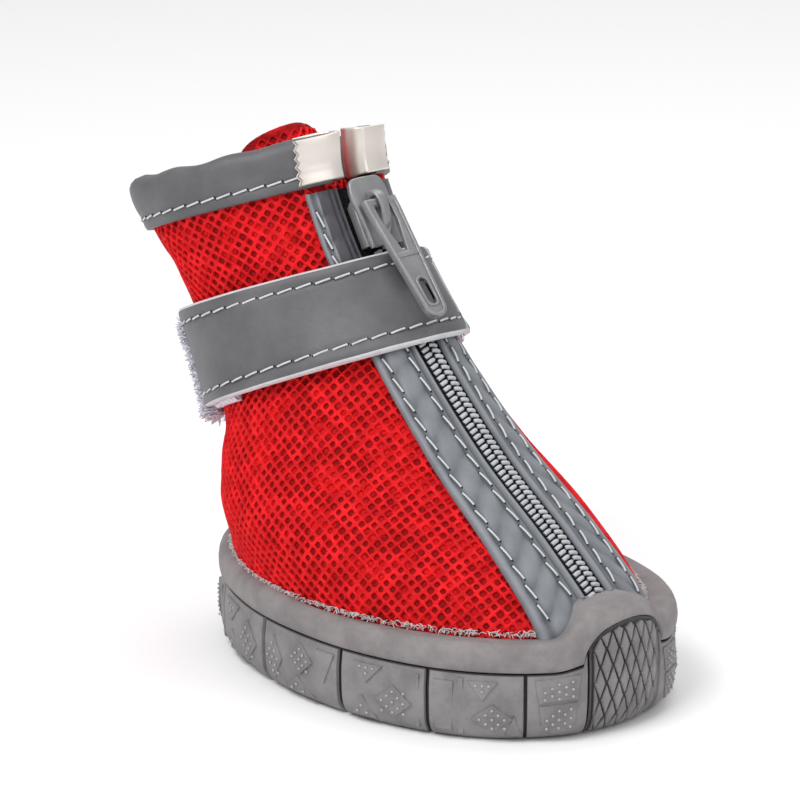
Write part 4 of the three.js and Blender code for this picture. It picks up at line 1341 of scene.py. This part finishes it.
def build_zip(sizes, finishes):
    for name, side in (("right", -1), ("left", 1)):
        share, across = np.meshgrid(np.linspace(0, 1, 160), np.linspace(0, 1, 18), indexing="ij")
        width = side * mix(*TAPE_REACH, across)
        rib = 0.05 * MM * np.sin(across * 40)
        tape = Shape()
        tape.slab(along_zip(width, share, rib - 0.6 * MM), along_zip(width, share, -1.3 * MM))
        mesh = mesh_of("tape_" + name, tape, [finishes["tape"]])
        piece("tape_" + name, mesh, ["zip_tape_" + name])
    share, across = np.meshgrid(np.linspace(0, 1, 160), np.linspace(-1, 1, 41), indexing="ij")
    width = across * ZIP_BED_HALF
    bed = Shape()
    cords = 0.1 * MM * ridge(np.abs(across), 0.8, 0.13)
    upper = along_zip(width, share, cords - 0.02 * MM, CHAIN_TOP)
    bed.slab(upper, along_zip(width, share, -0.25 * MM, CHAIN_TOP))
    piece("zip_bed", mesh_of("zip_bed", bed, [finishes["tape"]]), ["zip_chain"])

    def surface(share, width, lift):
        return along_zip(width, share, lift, CHAIN_TOP)

    turns = []
    for side in (-1, 1):
        shares = np.linspace(0.004, 0.996, 400)
        start = 0.5 + 0.25 * side
        for turn in seam_places(surface, side * COIL_SIDE, shares, sizes.coil_pitch, 0, start, COIL_LIFT):
            across = np.cross(turn.out, turn.along) + 0.3 * side * turn.along
            turns.append(Place(turn.point, unit(across), turn.out, (1, 1, 1)))
    values = {"Length": 1.2 * MM, "Thickness": sizes.coil_thickness, "Rise": 0.2 * MM}
    repeated("zip_coils", "Threads", turns, values, finishes["coil"])


# ---------- Slider and pull ----------


def cut_board(outlines, thickness, bevel):
    """A flat plate with rounded edges, centred on its own plane. The outlines after the first are holes."""
    curve = bpy.data.curves.new("board", "CURVE")
    curve.dimensions = "2D"
    curve.fill_mode = "BOTH"
    curve.extrude = thickness / 2 - bevel
    curve.bevel_depth = bevel
    curve.bevel_resolution = 2
    curve.offset = -bevel
    for outline_points in outlines:
        spline = curve.splines.new("POLY")
        spline.points.add(len(outline_points) - 1)
        for point, (x, y) in zip(spline.points, outline_points):
            point.co = (x, y, 0, 1)
        spline.use_cyclic_u = True
    mesh = plain_mesh(added("board", curve))
    bpy.data.curves.remove(curve)
    return mesh


def joined(name, parts, finish):
    """One mesh of several plates, each given with its place."""
    work = bmesh.new()
    for mesh, place in parts:
        mesh.transform(place)
        work.from_mesh(mesh)
        bpy.data.meshes.remove(mesh)
    bmesh.ops.remove_doubles(work, verts=work.verts, dist=1e-6)
    smoothed(work, 35)
    mesh = bpy.data.meshes.new(name)
    work.to_mesh(mesh)
    work.free()
    mesh.materials.append(finish)
    return mesh


def curve_through(start, control, end):
    """Points of a quadratic arc, without its last."""
    t = np.linspace(0, 1, 8, endpoint=False)[:, None]
    start, control, end = (np.array(point, float) for point in (start, control, end))
    return list((1 - t) ** 2 * start + 2 * t * (1 - t) * control + t * t * end)


def round_bar(radius, length):
    """A round bar along Y with rounded ends."""
    turns = np.linspace(0, 2 * math.pi, 20, endpoint=False)
    loops = []
    for share, wide in ((-0.5, 0.7), (-0.47, 1), (0.47, 1), (0.5, 0.7)):
        middle = np.full(len(turns), share * length)
        loops.append(np.stack([radius * wide * np.cos(turns), middle, radius * wide * np.sin(turns)], axis=1))
    bar = Shape()
    bar.tube(np.array(loops))
    mesh = bpy.data.meshes.new("bar")
    mesh.from_pydata(np.concatenate(bar.points).tolist(), [], bar.faces)
    return mesh


SLIDER_LENGTH = 10.6 * MM
SLIDER_HALF = 3.5 * MM
PLATE = 0.9 * MM
MOUTH_LOW = -2.3 * MM
MOUTH_HIGH = 1.65 * MM
PIVOT_X = -0.7 * MM
PIVOT_Z = MOUTH_HIGH + PLATE + 1.15 * MM
PIVOT_RADIUS = 0.6 * MM
PULL_DIP = math.radians(-11)
TAB_LENGTH = 20 * MM


def slider_frame():
    """The slider's own frame: x down along the zip, y to the left, z outwards."""
    seat = last_point(SLIDER_LEVEL, 0)
    down = last_point(SLIDER_LEVEL - 0.35, 0) - last_point(SLIDER_LEVEL + 0.35, 0)
    tilt = math.atan2(-down[2], down[0])
    return Matrix.Translation(seat) @ Matrix.Rotation(tilt, 4, "Y")


def slider_outline():
    """The slider's plate: round shoulders, a waist and a straight mouth."""
    long, half = SLIDER_LENGTH / 2, SLIDER_HALF
    right = [(long, 0), *curve_through((long, half * 0.82), (long * 0.2, half * 0.78), (-long * 0.4, half))]
    right += curve_through((-long * 0.4, half), (-long * 0.98, half), (-long, half * 0.55))
    right += [(-long, half * 0.55), (-long * 1.01, 0)]
    left = [(x, -y) for x, y in right[-2:0:-1]]
    return right + left


def build_slider(sizes, finishes):
    seat = slider_frame()
    move = Matrix.Translation
    parts = [
        (cut_board([slider_outline()], PLATE, 0.28 * MM), seat @ move((0, 0, height)))
        for height in (MOUTH_HIGH + PLATE / 2, MOUTH_LOW - PLATE / 2)
    ]
    on_side = Matrix.Rotation(math.pi / 2, 4, "X")
    flange = in_mm((-1.6, -0.9), (4.9, -0.9), (4.9, 0.7), (-2.6, 0.7))
    for side in (-1, 1):
        place = seat @ move((0, side * SLIDER_HALF * 0.84, MOUTH_HIGH - 0.5 * MM)) @ on_side
        parts.append((cut_board([flange], 0.6 * MM, 0.18 * MM), place))
    neck = in_mm((-4, -2.2), (-1.8, -2.2), (-1.8, 1.7), (-4, 1.7))
    parts.append((cut_board([neck], 1.6 * MM, 0.2 * MM), seat @ on_side))
    base, crown = MOUTH_HIGH + PLATE - 0.25 * MM, PIVOT_Z + PIVOT_RADIUS + 0.55 * MM
    rear, front = PIVOT_X - 0.2 * MM, PIVOT_X + 5 * MM
    arch = curve_through((PIVOT_X - 2.4 * MM, base), (PIVOT_X - 2.3 * MM, crown), (rear, crown))
    arch += curve_through((rear, crown), (PIVOT_X + 3.2 * MM, crown), (front, base))
    arch += [(front, base)]
    sill, roof, back = base + 0.55 * MM, PIVOT_Z + 0.75 * MM, PIVOT_X - 1.1 * MM
    eye = curve_through((PIVOT_X + 2.8 * MM, sill), (PIVOT_X + 1.8 * MM, roof), (PIVOT_X, roof))
    eye += curve_through((PIVOT_X, roof), (back, roof), (back, PIVOT_Z))
    eye += [(back, sill)]
    parts.append((cut_board([arch, eye], 1.7 * MM, 0.3 * MM), seat @ on_side))
    piece("slider_body", joined("slider_body", parts, finishes["paint"]), ["zip_slider"])


def build_pull(sizes, finishes):
    """A long openwork tab: two legs from a bar, a sunk panel and an oblong hole near the narrow end."""
    seat = slider_frame() @ Matrix.Translation((PIVOT_X, 0, PIVOT_Z)) @ Matrix.Rotation(PULL_DIP, 4, "Y")
    half, tip, shoulder = 3 * MM, 1.9 * MM, 1.2 * MM
    end = TAB_LENGTH - PIVOT_RADIUS - tip

    def board(inset):
        turns = np.linspace(-math.pi / 2, math.pi / 2, 13)
        edge = [(-PIVOT_RADIUS + inset, -half + inset), (shoulder, -half + inset)]
        edge += [(end + (tip - inset) * math.cos(t), (tip - inset) * math.sin(t)) for t in turns]
        return edge + [(shoulder, half - inset), (-PIVOT_RADIUS + inset, half - inset)]

    fork = in_mm((-0.05, -1.5), (3.15, -1.55), (8.15, -0.45), (8.15, 0.45), (3.15, 1.55), (-0.05, 1.5))
    bridge = in_mm((8.45, -2.2), (9.25, -2.15), (9.25, 2.15), (8.45, 2.2))
    eye_ends = (TAB_LENGTH - 6.2 * MM, TAB_LENGTH - 3.5 * MM)
    eye = [
        (end - way * 0.8 * MM * math.sin(t), way * 0.8 * MM * math.cos(t))
        for end, way in zip(eye_ends, (1, -1))
        for t in np.linspace(0, math.pi, 9)
    ]
    rim = [(x + (0.45 * MM if x > sum(eye_ends) / 2 else -0.45 * MM), y * 1.5) for x, y in eye]
    plates = [  # outlines, thickness and bevel
        ([board(0), fork, eye], 0.75 * MM, 0.15 * MM),
        ([board(0), board(0.62 * MM)], 1.3 * MM, 0.22 * MM),
        ([rim, eye], 1.1 * MM, 0.15 * MM),
        ([bridge], 1.15 * MM, 0.18 * MM),
    ]
    parts = [(cut_board(*plate), seat) for plate in plates]
    parts.append((round_bar(PIVOT_RADIUS, 2 * half - 0.4 * MM), seat))
    mesh = joined("pull_tab", parts, finishes["paint"])
    piece("pull_tab", mesh, ["zip_pull"], body="pull")


# ---------- Strap ----------


def band_point(first, last, across, share, offset, corner=0.0, low=0.0, high=0.0):
    """A point of a band round the shaft: share runs from one angle to another, across runs upwards."""
    from_end = np.minimum(share, 1 - share) / 0.05
    trim = corner * np.maximum(0, 1 - from_end) ** 2
    level = mix(LEVEL["strap_low"] + low + trim, LEVEL["strap_high"] + high - trim, across)
    return form(level, mix(first, last, share), offset)


def band_mesh(name, ends, offset, looks, corner=0.0, low=0.0, high=0.0, hem=0.1 * MM):
    """A band round the shaft. looks are the finishes of its faces and of its cut edges."""
    middle = np.linspace(0.06, 0.94, 200)[1:-1]
    shares = np.concatenate([np.linspace(0, 0.06, 16), middle, np.linspace(0.94, 1, 16)])
    share, across = np.meshgrid(shares, np.linspace(0, 1, 44), indexing="ij")
    edge = np.minimum(across, 1 - across)
    fold = hem * (ridge(edge, 0.07, 0.045) - 1.6 * ridge(edge, STRAP_SEAM, 0.025))
    sway = 0.12 * MM * np.sin(share * 14 + 3 * across) + 0.06 * MM * np.sin(share * 41)
    thick = BAND - 0.3 * MM * np.clip(1 - edge / 0.03, 0, 1)
    outer = band_point(*ends, across, share, offset + thick + fold + sway, corner, low, high)
    inner = band_point(*ends, across, share, np.full(share.shape, offset), corner, low, high)
    band = Shape()
    band.slab(outer, inner)
    columns = 2 * across.shape[1]
    rims = {0, across.shape[1] - 2, across.shape[1] - 1, columns - 1}
    looks_of = [1 if j in rims else 0 for j in range(columns)] * (len(shares) - 1)
    band.finishes = looks_of + [1] * (len(band.faces) - len(looks_of))
    return mesh_of(name, band, looks, sharp=60)


def build_strap(sizes, finishes):
    middle = LEVEL["strap_low"] + 0.5
    wrap = (STRAP_REAR, float(angle_at_side(middle, STRAP_FREE)))
    under = (float(angle_at_side(middle, STRAP_FREE + 1.2 * MM)), LEFT_REAR)
    loop = (LOOP_FRONT, float(angle_at_side(middle, FACING_OUTER + 1 * MM)) - 2 * math.pi)
    coated, loops = [finishes["coated"], finishes["edge"]], [finishes["loops"]] * 2
    mesh = band_mesh("strap_wrap", wrap, STRAP_OFFSET, coated, corner=0.12)
    piece("strap_wrap", mesh, ["strap"])
    mesh = band_mesh("strap_under", under, STRAP_OFFSET, coated, corner=0.03)
    piece("strap_under", mesh, ["strap_left"])
    mesh = band_mesh("strap_loops", loop, GAP, loops, low=-0.04, high=-0.1, hem=0)
    piece("strap_loops", mesh, ["strap_loop_band"])
    seams = []
    for ends, first, last in ((wrap, 0.02, 0.985), (under, 0.03, 0.97)):

        def surface(share, across, lift, ends=ends):
            return band_point(*ends, across, share, STRAP_OFFSET + BAND - 0.12 * MM + lift)

        for row in (STRAP_SEAM, 1 - STRAP_SEAM):
            seams += seam_places(surface, row, np.linspace(first, last, 300), STRAP_PITCH, 0.1)
    return seams


def scatter_loops(ends, offset, count, seed):
    """Loose loops of the loop fabric between two angles round the shaft."""
    random_source = random.Random(seed)
    places = []
    for _ in range(count):
        angle = random_source.uniform(*ends)
        level = random_source.uniform(LEVEL["strap_low"] - 0.1, LEVEL["strap_high"] - 0.14)
        point = form(level, angle, offset)
        lean = [random_source.gauss(0, 0.35) for _ in range(3)]
        out = unit(outward(np.array(level), np.array(angle)) + lean)
        along = unit(np.cross(out, [random_source.gauss(0, 1) for _ in range(3)]))
        places.append(Place(point, along, out, [random_source.uniform(0.5, 1.2)] * 3))
    return places


def rim_fuzz(count, seed):
    """Short pale fibres of glue and lint where the cloth goes into the sole."""
    random_source = random.Random(seed)
    places = []
    for _ in range(count):
        angle = random_source.uniform(-2.7, 2.7)
        if abs(angle) < 0.28:
            continue
        angle = np.array(angle)
        level = level_at_height(angle, rim_height(angle) + random_source.uniform(-0.3, 0.25) * MM)
        point = form(level, angle, 0.45 * MM)
        out = unit(np.array([random_source.gauss(0, 0.5), random_source.gauss(0, 0.5), 1.0]))
        along = unit(np.cross(out, [random_source.gauss(0, 1) for _ in range(3)]))
        places.append(Place(point, along, out, [random_source.uniform(0.5, 1.4)] * 3))
    return places


def build_stitches(sizes, finishes, seams):
    """All seams as light threads, with a dark dot of painted shade for the needle hole at each end."""
    for name, length, places in seams:
        values = {"Length": length, "Thickness": sizes.stitch_thickness, "Rise": 0.12 * MM}
        repeated(name + "_stitches", "Threads", places, values, finishes["thread"])
        holes = needle_places(places, length * 1.02)
        values = {"Radius": 0.2 * MM}
        repeated(name + "_needle_holes", "Grains", holes, values, finishes["needle"])


def build_fuzz(finishes):
    """The loose loops of the loop band and the fibres along the rim."""
    behind = scatter_loops(REAR_LOOPS, GAP + BAND, 2400, 11)
    behind += scatter_loops(HEEL_LOOPS, GAP + BAND, 950, 12)
    values = {"Length": 1.3 * MM, "Thickness": 0.12 * MM, "Rise": 2.5 * MM}
    repeated("loop_fuzz", "Threads", behind, values, finishes["loops"])
    values = {"Length": 0.9 * MM, "Thickness": 0.1 * MM, "Rise": 0.22 * MM}
    repeated("rim_fuzz", "Threads", rim_fuzz(1500, 5), values, finishes["glue"])


# ---------- Stage ----------


def build_stage(stage):
    floor = bpy.data.meshes.new("floor")
    half = 4.0
    corners = [(-half, -half, 0), (half, -half, 0), (half, half, 0), (-half, half, 0)]
    floor.from_pydata(corners, [], [(0, 1, 2, 3)])
    finish = Finish("floor")
    floor.materials.append(finish.shade(tuple(stage.floor_colour), 0.75, specular_ior_level=0.2))
    ground = added("floor", floor)

    world = bpy.data.worlds.new("studio")
    world.use_nodes = True
    sky = world.node_tree.nodes["Background"]
    sky.inputs["Color"].default_value = (1, 1, 1, 1)
    sky.inputs["Strength"].default_value = stage.sky
    bpy.context.scene.world = world
    bpy.context.scene.view_settings.view_transform = "Standard"

    middle = (CAD_BOX[0] + CAD_BOX[1]) / 2
    Lamp = namedtuple("Lamp", "name azimuth elevation distance size power")
    lamps = [
        Lamp("key", 5, 52, 0.7, 0.4, stage.key),
        Lamp("fill", 95, 30, 0.8, 0.6, stage.key * 0.4),
        Lamp("back", 200, 60, 0.8, 0.5, stage.key * 0.5),
    ]
    for lamp in lamps:
        light = bpy.data.lights.new(lamp.name, "AREA")
        light.size = lamp.size
        light.energy = lamp.power
        shown = added(lamp.name, light)
        shown.location = middle + direction(lamp.azimuth, lamp.elevation) * lamp.distance
        shown.rotation_mode = "QUATERNION"
        shown.rotation_quaternion = (shown.location - middle).to_track_quat("Z", "Y")

    lens = bpy.data.cameras.new("camera")
    lens.lens = stage.lens
    lens.sensor_width = 36
    lens.clip_start, lens.clip_end = 0.01, 100
    camera = added("camera", lens)
    camera.location = direction(stage.azimuth, stage.elevation) * stage.distance
    aim = middle + Vector((stage.aim_x, 0, stage.aim_z))
    camera.rotation_mode = "QUATERNION"
    camera.rotation_quaternion = (aim - camera.location).to_track_quat("-Z", "Y")
    bpy.context.scene.camera = camera


def direction(azimuth, elevation):
    a, e = math.radians(azimuth), math.radians(elevation)
    return Vector((math.sin(a) * math.cos(e), -math.cos(a) * math.cos(e), math.sin(e)))


# ---------- Settings ----------


def size_of(name, words, default):
    """A size property, in metres."""
    settings = {"unit": "LENGTH", "precision": 5}
    return bpy.props.FloatProperty(name=name, description=words, default=default, **settings)


def number_of(name, words, default):
    """A property without a unit."""
    return bpy.props.FloatProperty(name=name, description=words, default=default)


def colour_of(name, words, default):
    """A colour property, given as display values from 0 to 255 and kept linear."""
    linear = [(c / 255 / 12.92) if c <= 10 else ((c / 255 + 0.055) / 1.055) ** 2.4 for c in default]
    settings = {"subtype": "COLOR", "size": 3, "min": 0.0, "max": 1.0}
    return bpy.props.FloatVectorProperty(name=name, description=words, default=linear, **settings)


class BootSizes(bpy.types.PropertyGroup):
    net_pitch: size_of("Net pitch", "Distance between the holes of the mesh", 1.3 * MM)
    net_hole: number_of("Net hole", "Hole as a share of the pitch", 0.82)
    coil_pitch: size_of("Coil pitch", "Distance between the beads of the zip", 0.95 * MM)
    coil_thickness: size_of("Coil thickness", "Thickness of the zip's coil", 0.68 * MM)
    stitch_thickness: size_of("Stitch thickness", "Thickness of the sewing thread", 0.3 * MM)
    pucker: size_of("Pucker", "Height of the puckers of the strips beside the zip", 0.2 * MM)
    rim_wave: size_of("Rim wave", "Unevenness of the sole's rim band", 0.06 * MM)
    dot_radius: size_of("Dot radius", "Radius of the dots on the sole's side", 0.2 * MM)
    collar_wave: number_of("Collar wave", "Waves of the collar's edge", 0.03)


class BootColours(bpy.types.PropertyGroup):
    mesh: colour_of("Mesh", "Bright threads of the red mesh", (233, 22, 29))
    mesh_deep: colour_of("Mesh, deep", "Shaded threads of the red mesh", (198, 6, 14))
    mesh_light: colour_of("Mesh, light", "Threads that catch the light", (250, 92, 94))
    # Painted shade: this dark red is partly the lower layer's own colour and partly the shade inside the
    # holes of the net.
    hole: colour_of("Hole", "Bottom of the holes of the mesh", (138, 0, 4))
    coated: colour_of("Coated cloth", "Strap and collar", (82, 82, 85))
    coated_pale: colour_of("Coated cloth, pale", "Rubbed patches of the strap and collar", (97, 97, 100))
    cut_edge: colour_of("Cut edge", "Edges of the strap", (205, 205, 208))
    facing: colour_of("Facing", "Strips beside the zip", (132, 135, 141))
    # Painted shade in the dips of the strips beside the zip, also mixed in at random in soft patches.
    facing_dark: colour_of("Facing, dark", "Dips of the strips beside the zip", (84, 88, 93))
    tape: colour_of("Tape", "Woven tape of the zip", (50, 47, 54))
    tape_dark: colour_of("Tape, dark", "Gaps of the woven tape", (16, 18, 20))
    rubber: colour_of("Rubber", "Side of the sole", (112, 110, 111))
    rubber_pale: colour_of("Rubber, pale", "Dusty patches of the sole's side", (136, 133, 134))
    rim: colour_of("Rim", "Smooth band round the sole", (117, 112, 113))
    rim_pale: colour_of("Rim, pale", "Rubbed patches of the band", (138, 133, 133))
    # Painted shade: the dark rubber of the grooves, the sunk bumper and the faces underneath and inside the
    # sole.
    recess: colour_of("Recess", "Bottom of the sole's grooves", (58, 56, 57))
    thread: colour_of("Thread", "Sewing thread", (206, 208, 210))
    coil: colour_of("Coil", "Beads of the zip", (186, 188, 192))
    paint: colour_of("Paint", "Slider and pull", (146, 146, 148))
    nickel: colour_of("Nickel", "Collar clips", (229, 221, 214))
    loop: colour_of("Loops", "Loop fabric", (212, 207, 222))
    loop_pale: colour_of("Loops, pale", "Raised loops", (246, 243, 250))
    dots: colour_of("Dots", "Moulded dots", (172, 169, 169))


class StageSettings(bpy.types.PropertyGroup):
    azimuth: number_of("Azimuth", "Camera's turn from the right side, in degrees", 47.0)
    elevation: number_of("Elevation", "Camera's height angle, in degrees", 19.5)
    distance: size_of("Distance", "Camera's distance from the origin", 0.6)
    aim_x: size_of("Aim forward", "Forward shift of the point the camera looks at", 0.001)
    aim_z: size_of("Aim up", "Upward shift of the point the camera looks at", -0.0004)
    lens: number_of("Lens", "Focal length in millimetres", 184.0)
    key: number_of("Key light", "Power of the main light in watts", 3.0)
    sky: number_of("Sky", "Strength of the even light", 0.6)
    floor_colour: colour_of("Floor", "Pale floor", (252, 252, 253))


# ---------- Operators ----------


class BuildStep:
    """What the operators share: they build with the scene's settings and keep their seams for the sewing."""

    bl_options = {"REGISTER", "UNDO"}
    finishes = {}
    seams = []

    def made(self, context, build, seam=None, stitch=0.0):
        """Runs a building function. If it sews a seam, its places are kept with the stitch's length."""
        scene = context.scene
        if not self.finishes:
            self.finishes.update(make_finishes(scene.boot_colours))
            sockets = dict.fromkeys(("Length", "Thickness", "Rise"), "NodeSocketFloat")
            repeat_tree("Threads", sockets, thread_shape)
            repeat_tree("Grains", {"Radius": "NodeSocketFloat"}, grain_shape)
        places = build(scene.boot_sizes, self.finishes)
        if seam:
            self.seams.append((seam, stitch, places))
        return {"FINISHED"}


class BOOT_OT_stage(bpy.types.Operator):
    """Adds the floor, the lights and the camera"""

    bl_idname = "boot.stage"
    bl_label = "Stage"
    bl_options = {"REGISTER", "UNDO"}

    def execute(self, context):
        build_stage(context.scene.boot_stage)
        return {"FINISHED"}


class BOOT_OT_sole(BuildStep, bpy.types.Operator):
    """Builds the cup sole with its blocks, diamonds, dots and lugs"""

    bl_idname = "boot.sole"
    bl_label = "Sole"

    def execute(self, context):
        return self.made(context, build_sole)


class BOOT_OT_insole(BuildStep, bpy.types.Operator):
    """Builds the felt board inside the sole"""

    bl_idname = "boot.insole"
    bl_label = "Insole"

    def execute(self, context):
        return self.made(context, build_insole)


class BOOT_OT_upper(BuildStep, bpy.types.Operator):
    """Builds the mesh upper with its net"""

    bl_idname = "boot.upper"
    bl_label = "Upper"

    def execute(self, context):
        return self.made(context, build_upper)


class BOOT_OT_tongue(BuildStep, bpy.types.Operator):
    """Builds the tongue behind the zip"""

    bl_idname = "boot.tongue"
    bl_label = "Tongue"

    def execute(self, context):
        return self.made(context, build_tongue)


class BOOT_OT_collar(BuildStep, bpy.types.Operator):
    """Builds the folded strip round the collar"""

    bl_idname = "boot.collar"
    bl_label = "Collar"

    def execute(self, context):
        return self.made(context, build_binding, "collar", 2.2 * MM)


class BOOT_OT_clips(BuildStep, bpy.types.Operator):
    """Builds the two metal clips on the collar"""

    bl_idname = "boot.clips"
    bl_label = "Clips"

    def execute(self, context):
        return self.made(context, build_clips)


class BOOT_OT_zip(BuildStep, bpy.types.Operator):
    """Builds the tapes and the coils of the zip"""

    bl_idname = "boot.zip"
    bl_label = "Zip"

    def execute(self, context):
        return self.made(context, build_zip)


class BOOT_OT_facings(BuildStep, bpy.types.Operator):
    """Builds the coated strips beside the zip"""

    bl_idname = "boot.facings"
    bl_label = "Facings"

    def execute(self, context):
        return self.made(context, build_facings, "facing", 2.5 * MM)


class BOOT_OT_slider(BuildStep, bpy.types.Operator):
    """Builds the slider of the zip"""

    bl_idname = "boot.slider"
    bl_label = "Slider"

    def execute(self, context):
        return self.made(context, build_slider)


class BOOT_OT_pull(BuildStep, bpy.types.Operator):
    """Builds the pull tab of the slider"""

    bl_idname = "boot.pull"
    bl_label = "Pull"

    def execute(self, context):
        return self.made(context, build_pull)


class BOOT_OT_strap(BuildStep, bpy.types.Operator):
    """Builds the strap, its left half and the loop band"""

    bl_idname = "boot.strap"
    bl_label = "Strap"

    def execute(self, context):
        return self.made(context, build_strap, "strap", 2.3 * MM)


class BOOT_OT_sewing(BuildStep, bpy.types.Operator):
    """Adds the stitches of all seams and the loose fibres"""

    bl_idname = "boot.sewing"
    bl_label = "Stitches and fuzz"

    def execute(self, context):
        if not self.seams:
            raise RuntimeError("build the collar, the facings and the strap first")
        return self.made(context, self.sewn)

    def sewn(self, sizes, finishes):
        build_stitches(sizes, finishes, self.seams)
        build_fuzz(finishes)


OPERATORS = (
    BOOT_OT_sole, BOOT_OT_insole, BOOT_OT_upper, BOOT_OT_tongue, BOOT_OT_collar, BOOT_OT_clips, BOOT_OT_zip,
    BOOT_OT_facings, BOOT_OT_slider, BOOT_OT_pull, BOOT_OT_strap, BOOT_OT_sewing, BOOT_OT_stage,
)


class BOOT_PT_panel(bpy.types.Panel):
    """Lists the steps that build the boot"""

    bl_label = "Dog Boot"
    bl_idname = "BOOT_PT_panel"
    bl_space_type = "VIEW_3D"
    bl_region_type = "UI"
    bl_category = "Dog Boot"

    def draw(self, context):
        for step in OPERATORS:
            self.layout.operator(step.bl_idname)
        for settings in (context.scene.boot_sizes, context.scene.boot_colours, context.scene.boot_stage):
            for name in settings.__annotations__:
                self.layout.prop(settings, name)


GROUPS = {"boot_sizes": BootSizes, "boot_colours": BootColours, "boot_stage": StageSettings}


def register():
    for group in (*GROUPS.values(), *OPERATORS, BOOT_PT_panel):
        bpy.utils.register_class(group)
    for name, group in GROUPS.items():
        setattr(bpy.types.Scene, name, bpy.props.PointerProperty(type=group))


def unregister():
    for name in GROUPS:
        delattr(bpy.types.Scene, name)
    for group in (BOOT_PT_panel, *reversed(OPERATORS), *reversed(GROUPS.values())):
        bpy.utils.unregister_class(group)


def main():
    register()
    for step in OPERATORS:
        area, name = step.bl_idname.split(".")
        getattr(getattr(bpy.ops, area), name)()


if __name__ == "__main__":
    main()
